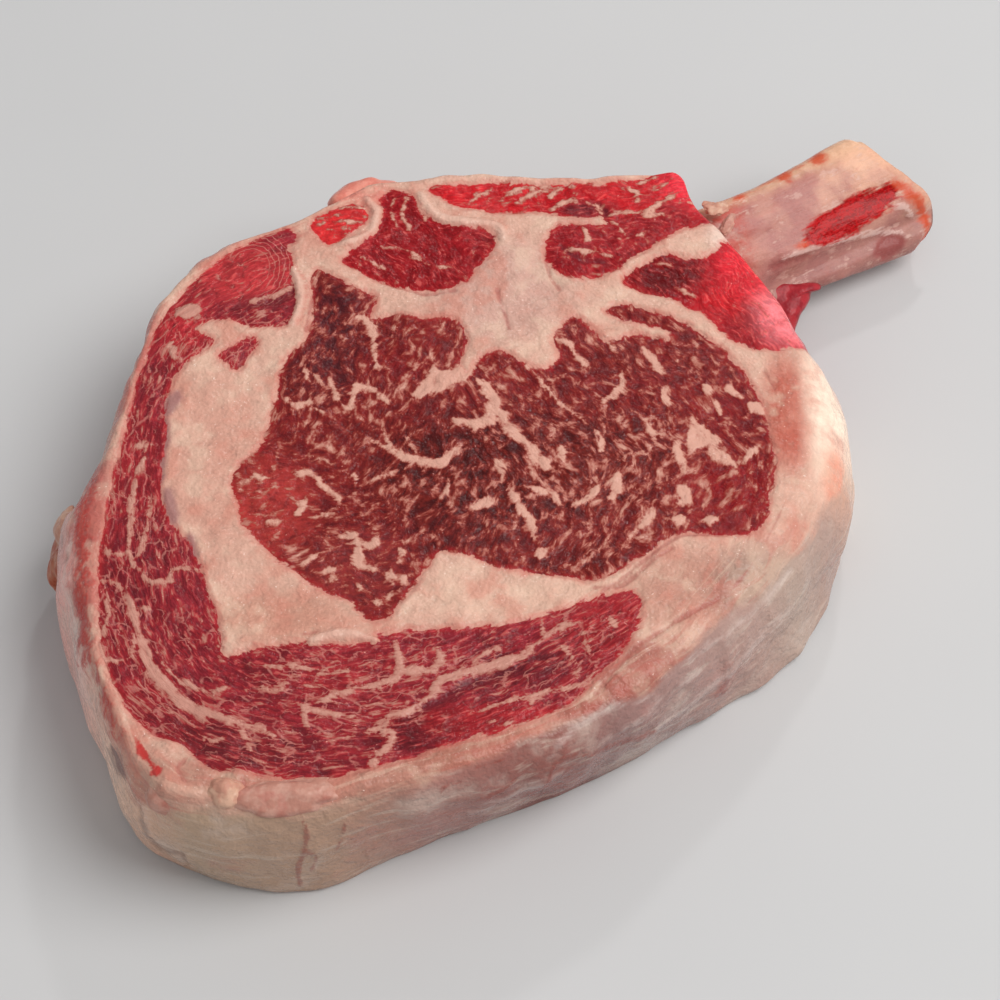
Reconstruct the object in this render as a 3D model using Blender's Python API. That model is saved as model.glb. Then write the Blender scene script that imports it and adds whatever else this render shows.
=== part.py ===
"""Cowboy steak: a raw rib steak that lies flat, with its rib scraped clean.

The meat is one slab, cut flat above and below. Each muscle is a solid that runs through
the slab from face to face, and the fat is the solid that fills the rest. The rib leaves
the slab at its far right corner, with its broad side at a slant, and its root sits in a
pocket of the slab.

Outlines are closed curves through a few points in millimetres, X to the right and Y away
from the front edge, measured from the middle of the cut face. place() moves them so that
the origin lies under the middle of the whole steak.
"""
import math

import bmesh
import bpy
import numpy as np
from mathutils import Matrix, Vector
from mathutils.geometry import delaunay_2d_cdt

# Driving dimensions, in millimetres
THICKNESS = 36.0
THIN_SIDE_DROP = 3.0
SEAT_GAP = 0.3
MIDDLE = (2.8, 6.2)

# The rib: where it leaves the meat, its compass heading and how far its broad side leans,
# in degrees, its size, and how much of it is inside and outside the meat
RIB_ROOT = (52.2, 68.6, 15.3)
RIB_HEADING = 30.0
RIB_SLANT = 40.0
RIB_WIDTH = 29.5
RIB_DEPTH = 13.0
RIB_INSIDE = 24.0
RIB_OUTSIDE = 52.0
# Its slanted end: how far out the far and the near edge reach, and the near edge's rounding
RIB_FAR_END = 44.0
RIB_NEAR_END = 54.5
RIB_NEAR_ROUND = 5.0
# The groove along its upper side: depth, half width and how far from the middle
GROOVE_DEPTH = 2.2
GROOVE_HALF = 2.6
GROOVE_ACROSS = 8.5

# Fineness of the meshes
RIM_POINTS = 108
FACE_SPACING = 8.0
CURVE_STEPS = 3
RIB_SIDES = 36
RIB_STATIONS = 22

MM = 0.001

# The foot's rounded edge, and how far the guides reach above and below the slab
FOOT_ROUND = 2.2
GUIDE_REACH = 8.0

# The slab: the edge of its flat top, its widest outline and its foot
TOP_EDGE = [
    (61, 0), (62, 10), (63, 21), (64, 31), (59.3, 45.5), (51.2, 60.5), (44.5, 71.5), (40.8, 81.5),
    (34.5, 81), (22, 79.3), (8, 78.8), (-8, 79.6), (-20, 76.8), (-29, 75.8), (-36.5, 71),
    (-46.5, 64.5), (-56.8, 59.8), (-65, 54), (-72.3, 46.7), (-76.5, 36), (-79, 24), (-81, 12),
    (-83, 0), (-84.5, -14), (-85, -28), (-83.5, -43), (-80, -57), (-75, -68.5), (-69.5, -78),
    (-61, -83), (-48, -84), (-36, -83), (-22, -79.5), (-8, -74.5), (5, -69.5), (17, -62.5),
    (28, -54.5), (38, -44.5), (47, -33), (54, -21), (59, -9)]
WIDEST = [
    (78.5, 9), (78.3, 19), (75, 29), (67.5, 42.5), (57, 61.5), (48, 74.5), (43, 83.5), (34.5, 83.5),
    (20, 82), (5, 81.5), (-10, 82), (-24, 80), (-33.5, 78), (-42.5, 71.5), (-52.5, 66.5),
    (-63, 61), (-71, 54), (-77, 46), (-81, 35.5), (-83.8, 23), (-86.4, 12), (-89.3, 1),
    (-93.5, -8), (-96, -14), (-95.8, -24), (-94, -33), (-90.3, -43), (-86, -54), (-81.5, -65),
    (-77, -74), (-72, -81), (-64, -86.7), (-50.5, -88.7), (-36, -87.7), (-22, -83.5), (-7, -78.5),
    (7, -73.5), (20, -67), (31, -59.5), (42, -50), (52, -40), (62, -29.5), (70, -18), (76, -7),
    (78.3, 1)]
FOOT = [
    (76, 8), (76.5, 20), (73, 29.5), (62, 48), (50, 66), (42.5, 79), (33.5, 80.5), (18, 79),
    (3, 78.5), (-12, 79), (-25, 76.5), (-36.5, 71.5), (-47.5, 65.5), (-59, 60), (-68, 53),
    (-76, 43.5), (-80.5, 32), (-84, 19), (-87.5, 7), (-91.5, -3), (-95, -14), (-95.3, -25),
    (-91.5, -37), (-87, -48), (-83, -59), (-79.5, -67.5), (-74.5, -75.5), (-67.5, -81), (-58.5, -85),
    (-46, -87.7), (-36, -86.7), (-28, -82.7), (-19, -78), (-8, -73), (4, -68.5), (16, -63.3),
    (28, -56.8), (40, -48.3), (50, -41.8), (59, -36), (65.5, -29.5), (71, -20.5), (75, -10),
    (76.5, -1)]
# How high the widest outline lies, as a share of the height: compass angle and share
WIDEST_HEIGHT = [
    (0, 0.42), (60, 0.55), (120, 0.6), (160, 0.45), (190, 0.28), (220, 0.3), (245, 0.72),
    (300, 0.72), (325, 0.5), (340, 0.42)]
# Folds and scraps that stand proud of the slab: middle, half sizes and turn
LUMPS = {
    "corner_lump": ((-66.0, -80.0, 29.0), (6.0, 6.0, 6.0), 30),
    "front_lump": ((-55.0, -82.5, 30.0), (5.0, 6.0, 5.0), 0),
    "front_roll": ((-38.0, -82.0, 31.0), (13.0, 6.0, 4.2), 6),
    "side_flap": ((-93.3, -8.0, 14.0), (5.0, 7.0, 6.0), 0),
    "far_bump": ((-31.5, 75.0, 31.0), (5.5, 4.5, 5.0), 35),
    "rib_scrap": ((63.5, 57.5, 12.5), (7.5, 6.5, 8.0), 35)}

# The muscles, each on the cut face
EYE = [
    (-41, 51.2), (-35, 47.2), (-28, 43.5), (-29, 37.5), (-24, 38.5), (-17, 37.6), (-10, 37.2),
    (-7, 31), (-9, 24.5), (-6.5, 22), (-4, 27), (1, 28.3), (8, 23.3), (13, 27.2), (11.5, 32.8),
    (16, 38.8), (20, 36.2), (24, 32), (31, 34.5), (38, 32.2), (37, 35.3), (29, 37.8),
    (23.5, 40.7), (27, 42.5), (34, 40.8), (41, 37.5), (48, 31.8), (54, 24), (58, 14), (59.5, 2),
    (58, -10.5), (54.3, -19), (46, -19.3), (37, -19.8), (29, -25.8), (21, -31), (10, -30.5),
    (0, -29), (-11, -25.2), (-15, -28.7), (-19, -36.7), (-25.5, -42.8), (-32, -37.5), (-42, -31),
    (-51, -23), (-56, -13), (-57, -5), (-52, 1), (-50, 8), (-48.5, 18), (-47.2, 25.5),
    (-43.5, 30), (-41.8, 38), (-42, 46)]
CAP = [
    (-52, 61.3), (-48.5, 59.8), (-46.5, 52), (-44, 44), (-45.5, 36), (-54, 34.5), (-62, 36.5),
    (-68, 34), (-63, 30), (-69.5, 24), (-72.5, 16), (-72, 4), (-72.5, -8), (-69.5, -18),
    (-64, -25), (-61, -34), (-58, -44), (-56, -51), (-50, -49.5), (-40, -48.3), (-30, -48.8),
    (-22, -45.3), (-10, -44.2), (3, -42.5), (14, -38.5), (22, -35), (28, -35), (29.3, -40),
    (26.5, -47.5), (20.5, -54.5), (13, -62.5), (3, -67.3), (-8, -71), (-20, -76), (-32, -79),
    (-44, -79.5), (-58, -77.3), (-64, -72), (-71, -68.5), (-77, -61), (-81.5, -50), (-83.5, -37),
    (-83.8, -20), (-82.2, -3), (-80.2, 14), (-77.2, 29), (-73, 42), (-65, 51.3), (-58, 57)]
UPPER_LEFT = [
    (-26.5, 74), (-20, 73.2), (-17, 67.5), (-9, 64.8), (-2, 62.5), (-1.2, 59), (-4.5, 53.5),
    (-8, 47.5), (-15, 45.3), (-24, 47), (-33, 51.5), (-35.5, 54), (-31, 59.5), (-28, 66)]
CORNER = [
    (-43, 64.5), (-37, 69.5), (-32, 70.2), (-30, 66.5), (-32.5, 62.5), (-37, 59), (-39.5, 58)]
STRIP = [
    (-16.5, 75.5), (-11, 71), (-3, 69), (8, 69.2), (18, 67.6), (29, 70), (38, 74), (47, 75),
    (50, 86), (39, 86), (33.5, 80.2), (22, 78.2), (8, 77.8), (-6, 77)]
RIB_SIDE = [
    (14, 65.2), (25, 66), (33, 68.2), (40, 72.8), (52, 73.2), (54, 69), (46, 67), (40, 63.8),
    (34, 59.5), (25, 51.8), (17, 49.8), (11.3, 53.8), (10.3, 59.5)]
SIDE = [
    (28, 49), (33, 54.8), (38, 57.3), (47, 57.5), (56, 64), (73, 60), (80, 44), (72, 34),
    (58, 30.5), (51, 34.2), (44, 41.5), (36, 45.8)]
CORE = (-5.0, -2.0)
# The muscles stand a little inwards below: their size at the foot against the top
FOOT_SHARE = 0.95

FAT_COLOUR = (0.74, 0.42, 0.33)
EYE_COLOUR = (0.20, 0.020, 0.020)
LEAN_COLOUR = (0.34, 0.022, 0.024)
BONE_COLOUR = (0.72, 0.45, 0.37)


def clear_scene():
    for obj in list(bpy.data.objects):
        bpy.data.objects.remove(obj, do_unlink=True)


def material(name, colour, roughness):
    mat = bpy.data.materials.new(name)
    mat.use_nodes = True
    shader = mat.node_tree.nodes["Principled BSDF"]
    shader.inputs["Base Color"].default_value = (*colour, 1.0)
    shader.inputs["Roughness"].default_value = roughness
    shader.inputs["Metallic"].default_value = 0.0
    return mat


def smooth_step(value):
    share = np.clip(value, 0.0, 1.0)
    return share * share * (3.0 - 2.0 * share)


def place(x, y, z):
    """A point of the outlines, in metres from the origin under the steak's middle."""
    return Vector(((x - MIDDLE[0]) * MM, (y - MIDDLE[1]) * MM, z * MM))


def closed_curve(points, steps):
    """Points along the closed Catmull-Rom curve through the given ones."""
    pts = np.array(points, float)
    before, after, beyond = np.roll(pts, 1, 0), np.roll(pts, -1, 0), np.roll(pts, -2, 0)
    curve = []
    for step in range(steps):
        t = step / steps
        curve.append(0.5 * (2 * pts + (after - before) * t
                            + (2 * before - 5 * pts + 4 * after - beyond) * t ** 2
                            + (3 * pts - before - 3 * after + beyond) * t ** 3))
    return np.stack(curve, 1).reshape(-1, 2)


def even_loop(points, count):
    """The closed curve again, with its points evenly spaced."""
    dense = closed_curve(points, 12)
    ring = np.vstack([dense, dense[:1]])
    length = np.concatenate([[0], np.cumsum(np.hypot(*np.diff(ring, axis=0).T))])
    at = np.arange(count) * length[-1] / count
    return np.stack([np.interp(at, length, ring[:, 0]), np.interp(at, length, ring[:, 1])], 1)


def grown(loop, distance):
    """A counter-clockwise or clockwise loop, moved outwards along its normals."""
    along = np.roll(loop, -1, 0) - np.roll(loop, 1, 0)
    along /= np.hypot(*along.T)[:, None]
    x, y = loop.T
    area = np.sum(x * np.roll(y, -1) - np.roll(x, -1) * y)
    outward = np.stack([along[:, 1], -along[:, 0]], 1) * math.copysign(1.0, area)
    return loop + outward * distance


def reach(outline, angles):
    """How far an outline lies from the core, along each compass angle."""
    curve = closed_curve(outline, 12) - np.array(CORE)
    return np.interp(angles, np.arctan2(curve[:, 1], curve[:, 0]), np.hypot(*curve.T),
                     period=2 * math.pi)


def top_height(x, y):
    """The height of the cut face: lower to the right, with slow swells."""
    drop = THIN_SIDE_DROP * smooth_step((x + 25.0) / 100.0)
    swell = 0.35 * np.sin(x / 15.0 + 1.3) * np.cos(y / 19.0 + 0.4) + 0.2 * np.sin((x - y) / 9.0)
    return THICKNESS - 0.5 - drop + swell


def slab_rings():
    """The rings of the slab's side, from the edge of the top down to the foot."""
    edge = even_loop(TOP_EDGE, RIM_POINTS)
    from_core = edge - np.array(CORE)
    angles = np.arctan2(from_core[:, 1], from_core[:, 0])
    heading = np.stack([np.cos(angles), np.sin(angles)], 1)
    inner = np.hypot(*from_core.T)
    wide, foot = reach(WIDEST, angles), reach(FOOT, angles)
    share = np.interp(np.degrees(angles), *zip(*WIDEST_HEIGHT), period=360)
    top = top_height(edge[:, 0], edge[:, 1])
    belly = share * top
    rings = []
    for turn in np.radians([0, 22, 44, 66, 90]):
        rings.append((inner + (wide - inner) * math.sin(turn),
                      belly + (top - belly) * math.cos(turn)))
    for down in (0.35, 0.7, 1.0):
        rings.append((wide + (foot - wide) * down ** 1.5,
                      belly + (FOOT_ROUND - belly) * down))
    rings.append((foot - 0.3 * FOOT_ROUND, np.full_like(foot, 0.3 * FOOT_ROUND)))
    rings.append((foot - FOOT_ROUND, np.zeros_like(foot)))
    return edge, [(np.array(CORE) + heading * r[:, None], z) for r, z in rings]


def is_inside(loop, point):
    x, y = point
    a, b = loop, np.roll(loop, -1, 0)
    crosses = (a[:, 1] > y) != (b[:, 1] > y)
    step = np.where(crosses, b[:, 1] - a[:, 1], 1.0)
    at = a[:, 0] + (y - a[:, 1]) * (b[:, 0] - a[:, 0]) / step
    return np.count_nonzero(crosses & (at > x)) % 2 == 1


def build_slab():
    """The whole slab as one closed mesh, before the muscles are parted from the fat."""
    edge, rings = slab_rings()
    inner_edge = grown(edge, -0.55 * FACE_SPACING)
    left, near = edge.min(0)
    right, far = edge.max(0)
    inside = []
    for row, y in enumerate(np.arange(near, far, 0.87 * FACE_SPACING)):
        for x in np.arange(left, right, FACE_SPACING):
            point = (x + 0.5 * FACE_SPACING * (row % 2), y)
            if is_inside(inner_edge, point):
                inside.append(point)
    count = len(edge)
    flat = [Vector(p) for p in edge] + [Vector(p) for p in inside]
    fence = [(i, (i + 1) % count) for i in range(count)]
    points, _, faces, _, _, _ = delaunay_2d_cdt(flat, fence, [], 1, 1e-5)
    mesh = bmesh.new()
    top = [mesh.verts.new(place(p.x, p.y, float(top_height(p.x, p.y)))) for p in points]
    for face in faces:
        mesh.faces.new([top[i] for i in face])
    upper = top[:count]
    for loop, heights in rings[1:]:
        lower = [mesh.verts.new(place(p[0], p[1], z)) for p, z in zip(loop, heights)]
        for i in range(count):
            j = (i + 1) % count
            mesh.faces.new([upper[j], upper[i], lower[i], lower[j]])
        upper = lower
    mesh.faces.new(list(reversed(upper)))
    bmesh.ops.recalc_face_normals(mesh, faces=mesh.faces)
    return mesh


def add_object(name, mesh):
    """A new object from a bmesh, which is freed."""
    data = bpy.data.meshes.new(name)
    mesh.to_mesh(data)
    mesh.free()
    obj = bpy.data.objects.new(name, data)
    bpy.context.collection.objects.link(obj)
    return obj


def as_guide(obj):
    obj.hide_render = True
    obj.display_type = "WIRE"
    return obj


def lump_guide(name, middle, half_sizes, turn):
    mesh = bmesh.new()
    bmesh.ops.create_icosphere(mesh, subdivisions=2, radius=1.0)
    size = Matrix.Diagonal(Vector(half_sizes) * MM).to_4x4()
    spot = Matrix.Translation(place(*middle)) @ Matrix.Rotation(math.radians(turn), 4, "Z")
    bmesh.ops.transform(mesh, matrix=spot @ size, verts=mesh.verts)
    return as_guide(add_object(name, mesh))


def column_guide(name, outline, margin=0.0):
    """An upright prism on an outline, taller than the slab both ways."""
    loop = closed_curve(outline, CURVE_STEPS)
    if margin:
        loop = grown(loop, margin)
    mesh = bmesh.new()
    core = np.array(CORE)
    ends = []
    for z in (-GUIDE_REACH, THICKNESS + GUIDE_REACH):
        share = 1.0 - (1.0 - FOOT_SHARE) * (THICKNESS - z) / THICKNESS
        ends.append([mesh.verts.new(place(p[0], p[1], z)) for p in core + (loop - core) * share])
    low, high = ends
    count = len(loop)
    for i in range(count):
        j = (i + 1) % count
        mesh.faces.new([low[i], low[j], high[j], high[i]])
    mesh.faces.new(low)
    mesh.faces.new(high)
    bmesh.ops.recalc_face_normals(mesh, faces=mesh.faces)
    return as_guide(add_object(name, mesh))


def rib_swell(nominal, share):
    """The rib's size along its length: a slim neck, a flared and rounded end, a tapered root."""
    neck = 1.0 - 0.06 * math.exp(-((nominal - 14.0) / 12.0) ** 2)
    flare = 1.0 + 0.07 * float(smooth_step((nominal - 30.0) / 20.0))
    tip = 1.0 - 0.10 * float(smooth_step((nominal - RIB_OUTSIDE + 3.0) / 3.0))
    into_root = max(0.0, 1.0 - share * 7.0)
    root = 0.45 + 0.55 * math.sqrt(1.0 - into_root ** 2)
    return neck, flare * tip * root


def rib_section(nominal, turn, half_width, half_depth):
    """A point of the rib's outline: across the broad side, and out of it."""
    across = half_width * math.copysign(abs(math.cos(turn)) ** 0.9, math.cos(turn))
    rise = half_depth * math.copysign(abs(math.sin(turn)) ** 0.8, math.sin(turn))
    if rise > 0:
        shaped = float(smooth_step(nominal / 12.0))
        rise -= GROOVE_DEPTH * shaped * math.exp(-((across - GROOVE_ACROSS) / GROOVE_HALF) ** 2)
        rise += 0.5 * shaped * math.exp(-((across - GROOVE_ACROSS + 6.0) / GROOVE_HALF) ** 2)
    return across, rise


def rib_reach(nominal, across):
    """How far along the rib a point lies, once its end is slanted."""
    end = RIB_FAR_END + (RIB_NEAR_END - RIB_FAR_END) * float(smooth_step((across + 16.0) / 25.0))
    end -= RIB_NEAR_ROUND * float(smooth_step((across - 8.0) / 8.0))
    blend = float(smooth_step((nominal - 20.0) / (RIB_OUTSIDE - 20.0)))
    return nominal + (end - RIB_OUTSIDE) * blend


def rib_mesh(margin=0.0):
    """The rib, from its root in the slab to its cut end, grown by a margin."""
    heading, slant = math.radians(RIB_HEADING), math.radians(RIB_SLANT)
    ahead = Vector((math.cos(heading), math.sin(heading), 0.0))
    aside = Vector((-math.sin(heading), math.cos(heading), 0.0))
    broad = -aside * math.cos(slant) - Vector((0.0, 0.0, math.sin(slant)))
    face = -aside * math.sin(slant) + Vector((0.0, 0.0, math.cos(slant)))
    mesh = bmesh.new()
    rings = []
    for share in np.linspace(0.0, 1.0, RIB_STATIONS).tolist():
        nominal = -RIB_INSIDE + share * (RIB_INSIDE + RIB_OUTSIDE)
        neck, size = rib_swell(nominal, share)
        half_width = 0.5 * RIB_WIDTH * neck * size + margin
        half_depth = 0.5 * RIB_DEPTH * size + margin
        ring = []
        for turn in np.linspace(0.0, 2 * math.pi, RIB_SIDES, endpoint=False).tolist():
            across, rise = rib_section(nominal, turn, half_width, half_depth)
            along = rib_reach(nominal, across) + (2 * share - 1) * margin
            bend = 0.0035 * max(0.0, 6.0 - along) ** 2
            offset = along * ahead + bend * aside + across * broad + rise * face
            ring.append(mesh.verts.new(place(*RIB_ROOT) + MM * offset))
        rings.append(ring)
    for first, second in zip(rings, rings[1:]):
        for i in range(RIB_SIDES):
            j = (i + 1) % RIB_SIDES
            mesh.faces.new([first[i], first[j], second[j], second[i]])
    for ring in (rings[0], rings[-1]):
        middle = mesh.verts.new(sum((v.co for v in ring), Vector()) / RIB_SIDES)
        for i in range(RIB_SIDES):
            mesh.faces.new([ring[i], ring[(i + 1) % RIB_SIDES], middle])
    bmesh.ops.recalc_face_normals(mesh, faces=mesh.faces)
    return mesh


def bodies_of(mesh):
    """The separate bodies of a mesh as lists of vertices, the smallest first."""
    bodies, seen = [], set()
    for start in mesh.verts:
        if start in seen:
            continue
        seen.add(start)
        body, waiting = [], [start]
        while waiting:
            vert = waiting.pop()
            body.append(vert)
            for edge in vert.link_edges:
                neighbour = edge.other_vert(vert)
                if neighbour not in seen:
                    seen.add(neighbour)
                    waiting.append(neighbour)
        bodies.append(body)
    return sorted(bodies, key=len)


def combine(obj, other, operation):
    """Joins, cuts or keeps the overlap, applied at once, and drops loose crumbs."""
    step = obj.modifiers.new(operation.lower(), "BOOLEAN")
    step.object = other
    step.operation = operation
    step.solver = "EXACT"
    bpy.context.view_layer.update()
    depsgraph = bpy.context.evaluated_depsgraph_get()
    data = bpy.data.meshes.new_from_object(obj.evaluated_get(depsgraph))
    obj.modifiers.clear()
    mesh = bmesh.new()
    mesh.from_mesh(data)
    bmesh.ops.triangulate(mesh, faces=mesh.faces)
    for body in bodies_of(mesh)[:-1]:
        bmesh.ops.delete(mesh, geom=body, context="VERTS")
    mesh.to_mesh(data)
    mesh.free()
    obj.data = data


def finish(obj, mat):
    obj.data.materials.clear()
    obj.data.materials.append(mat)
    obj.data.shade_smooth()
    obj.data.set_sharp_from_angle(angle=math.radians(35))


def main():
    clear_scene()
    fat = material("fat", FAT_COLOUR, 0.42)
    eye_lean = material("eye_lean", EYE_COLOUR, 0.38)
    lean = material("lean", LEAN_COLOUR, 0.38)
    bone = material("bone", BONE_COLOUR, 0.45)

    slab = as_guide(add_object("slab_guide", build_slab()))
    for name, (middle, half_sizes, turn) in LUMPS.items():
        combine(slab, lump_guide(name + "_guide", middle, half_sizes, turn), "UNION")
    pocket = as_guide(add_object("pocket_guide", rib_mesh(SEAT_GAP)))

    fat_body = bpy.data.objects.new("fat_body", slab.data.copy())
    bpy.context.collection.objects.link(fat_body)
    muscles = {
        "eye_muscle": (EYE, eye_lean), "cap_muscle": (CAP, lean),
        "upper_left_muscle": (UPPER_LEFT, lean), "corner_muscle": (CORNER, lean),
        "strip_muscle": (STRIP, lean), "rib_side_muscle": (RIB_SIDE, lean),
        "side_muscle": (SIDE, lean)}
    for name, (outline, mat) in muscles.items():
        combine(fat_body, column_guide(name + "_hole_guide", outline, SEAT_GAP), "DIFFERENCE")
        column = column_guide(name + "_column_guide", outline)
        muscle = bpy.data.objects.new(name, column.data.copy())
        bpy.context.collection.objects.link(muscle)
        combine(muscle, slab, "INTERSECT")
        combine(muscle, pocket, "DIFFERENCE")
        finish(muscle, mat)
    combine(fat_body, pocket, "DIFFERENCE")
    finish(fat_body, fat)

    rib = add_object("rib_bone", rib_mesh())
    finish(rib, bone)


main()
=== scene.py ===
"""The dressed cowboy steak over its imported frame.

The meat is one closed mesh on the same outlines as the solids. Each of its points carries
distances in millimetres to the muscles' edges, the marbling, the creases and the veins, and the
material turns those into ragged borders. Outlines are in millimetres, X to the right and Y
away. Strokes are drawn on the photograph's pixels, and spot() lays those on the cut face.
"""
import itertools
import math

import bmesh
import bpy
import numpy as np
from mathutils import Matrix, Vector
from mathutils.geometry import delaunay_2d_cdt

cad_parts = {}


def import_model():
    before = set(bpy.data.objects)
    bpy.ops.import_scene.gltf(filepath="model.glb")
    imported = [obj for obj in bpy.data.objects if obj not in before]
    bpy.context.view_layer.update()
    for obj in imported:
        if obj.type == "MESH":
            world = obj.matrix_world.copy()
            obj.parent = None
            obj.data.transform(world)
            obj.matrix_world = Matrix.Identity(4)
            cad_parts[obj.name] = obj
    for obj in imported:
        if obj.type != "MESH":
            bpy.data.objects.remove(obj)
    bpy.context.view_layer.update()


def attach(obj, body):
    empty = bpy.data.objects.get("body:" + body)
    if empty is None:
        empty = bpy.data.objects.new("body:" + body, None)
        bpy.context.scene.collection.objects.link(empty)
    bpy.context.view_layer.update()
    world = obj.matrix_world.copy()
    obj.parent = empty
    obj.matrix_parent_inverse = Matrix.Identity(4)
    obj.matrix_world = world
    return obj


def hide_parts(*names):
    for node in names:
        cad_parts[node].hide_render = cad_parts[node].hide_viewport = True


MM = 0.001

# The slab and the rib, with the sizes that the solids have
THICKNESS = 36.0
THIN_SIDE_DROP = 3.0
MIDDLE = (2.8, 6.2)
FOOT_ROUND = 2.2
CORE = (-5.0, -2.0)
FOOT_SHARE = 0.95
RIB_ROOT = (52.2, 68.6, 15.3)
RIB_HEADING = 30.0
RIB_SLANT = 40.0
RIB_WIDTH = 29.5
RIB_DEPTH = 13.0
RIB_INSIDE = 24.0
RIB_OUTSIDE = 52.0
RIB_FAR_END = 44.0
RIB_NEAR_END = 54.5
RIB_NEAR_ROUND = 5.0
# Its neck, flare and tip: how much narrower or wider, from where on and over what length
RIB_NECK, RIB_FLARE, RIB_TIP = (0.06, 14.0, 12.0), (0.07, 30.0, 20.0), (0.10, 3.0)
GROOVE_DEPTH = 2.2
GROOVE_HALF = 2.6
GROOVE_ACROSS = 8.5

# The photograph's camera: its rise over the table, its lens and how far off it stands
CAMERA_RISE = 55.0
CAMERA_AWAY = 611.1
TARGET_HEIGHT = 18.0
LENS = 100.0
SENSOR = 36.0
PHOTO_SIDE = 1000
# Millimetres that a pixel spans at the middle of the part
PIXEL = CAMERA_AWAY * SENSOR / LENS / PHOTO_SIDE

# Fineness of the meat's mesh: spacing on the cut face, and points and rings round the side
FACE_SPACING = 0.62
RIM_POINTS = 760
SHOULDER_RINGS = 11
SIDE_RINGS = 26
FOOT_SPACING = 4.0
# Millimetres of the side wall that a degree of heading spans
WALL_DEGREE = 1.5

TOP_EDGE = [
    (61, 0), (62, 10), (63, 21), (64, 31), (59.3, 45.5), (51.2, 60.5), (44.5, 71.5), (40.8, 81.5),
    (34.5, 81), (22, 79.3), (8, 78.8), (-8, 79.6), (-20, 76.8), (-29, 75.8), (-36.5, 71),
    (-46.5, 64.5), (-56.8, 59.8), (-65, 54), (-72.3, 46.7), (-76.5, 36), (-79, 24), (-81, 12),
    (-83, 0), (-84.5, -14), (-85, -28), (-83.5, -43), (-80, -57), (-75, -68.5), (-69.5, -78),
    (-61, -83), (-48, -84), (-36, -83), (-22, -79.5), (-8, -74.5), (5, -69.5), (17, -62.5),
    (28, -54.5), (38, -44.5), (47, -33), (54, -21), (59, -9)]
WIDEST = [
    (78.5, 9), (78.3, 19), (75, 29), (67.5, 42.5), (57, 61.5), (48, 74.5), (43, 83.5),
    (34.5, 83.5),
    (20, 82), (5, 81.5), (-10, 82), (-24, 80), (-33.5, 78), (-42.5, 71.5), (-52.5, 66.5),
    (-63, 61), (-71, 54), (-77, 46), (-81, 35.5), (-83.8, 23), (-86.4, 12), (-89.3, 1),
    (-93.5, -8), (-96, -14), (-95.8, -24), (-94, -33), (-90.3, -43), (-86, -54), (-81.5, -65),
    (-77, -74), (-72, -81), (-64, -86.7), (-50.5, -88.7), (-36, -87.7), (-22, -83.5), (-7, -78.5),
    (7, -73.5), (20, -67), (31, -59.5), (42, -50), (52, -40), (62, -29.5), (70, -18), (76, -7),
    (78.3, 1)]
FOOT = [
    (76, 8), (76.5, 20), (73, 29.5), (62, 48), (50, 66), (42.5, 79), (33.5, 80.5), (18, 79),
    (3, 78.5), (-12, 79), (-25, 76.5), (-36.5, 71.5), (-47.5, 65.5), (-59, 60), (-68, 53),
    (-76, 43.5), (-80.5, 32), (-84, 19), (-87.5, 7), (-91.5, -3), (-95, -14), (-95.3, -25),
    (-91.5, -37), (-87, -48), (-83, -59), (-79.5, -67.5), (-74.5, -75.5), (-67.5, -81),
    (-58.5, -85), (-46, -87.7), (-36, -86.7), (-28, -82.7), (-19, -78), (-8, -73), (4, -68.5),
    (16, -63.3), (28, -56.8), (40, -48.3), (50, -41.8), (59, -36), (65.5, -29.5), (71, -20.5),
    (75, -10), (76.5, -1)]
WIDEST_HEIGHT = [
    (0, 0.42), (60, 0.55), (120, 0.6), (160, 0.45), (190, 0.28), (220, 0.3), (245, 0.72),
    (300, 0.72), (325, 0.5), (340, 0.42)]

EYE = [
    (-41, 51.2), (-35, 47.2), (-28, 43.5), (-29, 37.5), (-24, 38.5), (-17, 37.6), (-10, 37.2),
    (-7, 31), (-9, 24.5), (-6.5, 22), (-4, 27), (1, 28.3), (8, 23.3), (13, 27.2), (11.5, 32.8),
    (16, 38.8), (20, 36.2), (24, 32), (31, 34.5), (38, 32.2), (37, 35.3), (29, 37.8),
    (23.5, 40.7), (27, 42.5), (34, 40.8), (41, 37.5), (48, 31.8), (54, 24), (58, 14), (59.5, 2),
    (58, -10.5), (54.3, -19), (46, -19.3), (37, -19.8), (29, -25.8), (21, -31), (10, -30.5),
    (0, -29), (-11, -25.2), (-15, -28.7), (-19, -36.7), (-25.5, -42.8), (-32, -37.5), (-42, -31),
    (-51, -23), (-56, -13), (-57, -5), (-52, 1), (-50, 8), (-48.5, 18), (-47.2, 25.5),
    (-43.5, 30), (-41.8, 38), (-42, 46)]
CAP = [
    (-52, 61.3), (-48.5, 59.8), (-46.5, 52), (-44, 44), (-45.5, 36), (-54, 34.5), (-62, 36.5),
    (-68, 34), (-63, 30), (-69.5, 24), (-72.5, 16), (-72, 4), (-72.5, -8), (-69.5, -18),
    (-64, -25), (-61, -34), (-58, -44), (-56, -51), (-50, -49.5), (-40, -48.3), (-30, -48.8),
    (-22, -45.3), (-10, -44.2), (3, -42.5), (14, -38.5), (22, -35), (28, -35), (29.3, -40),
    (26.5, -47.5), (20.5, -54.5), (13, -62.5), (3, -67.3), (-8, -71), (-20, -76), (-32, -79),
    (-44, -79.5), (-58, -77.3), (-64, -72), (-71, -68.5), (-77, -61), (-81.5, -50), (-83.5, -37),
    (-83.8, -20), (-82.2, -3), (-80.2, 14), (-77.2, 29), (-73, 42), (-65, 51.3), (-58, 57)]
UPPER_LEFT = [
    (-26.5, 74), (-20, 73.2), (-17, 67.5), (-9, 64.8), (-2, 62.5), (-1.2, 59), (-4.5, 53.5),
    (-8, 47.5), (-15, 45.3), (-24, 47), (-33, 51.5), (-35.5, 54), (-31, 59.5), (-28, 66)]
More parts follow.
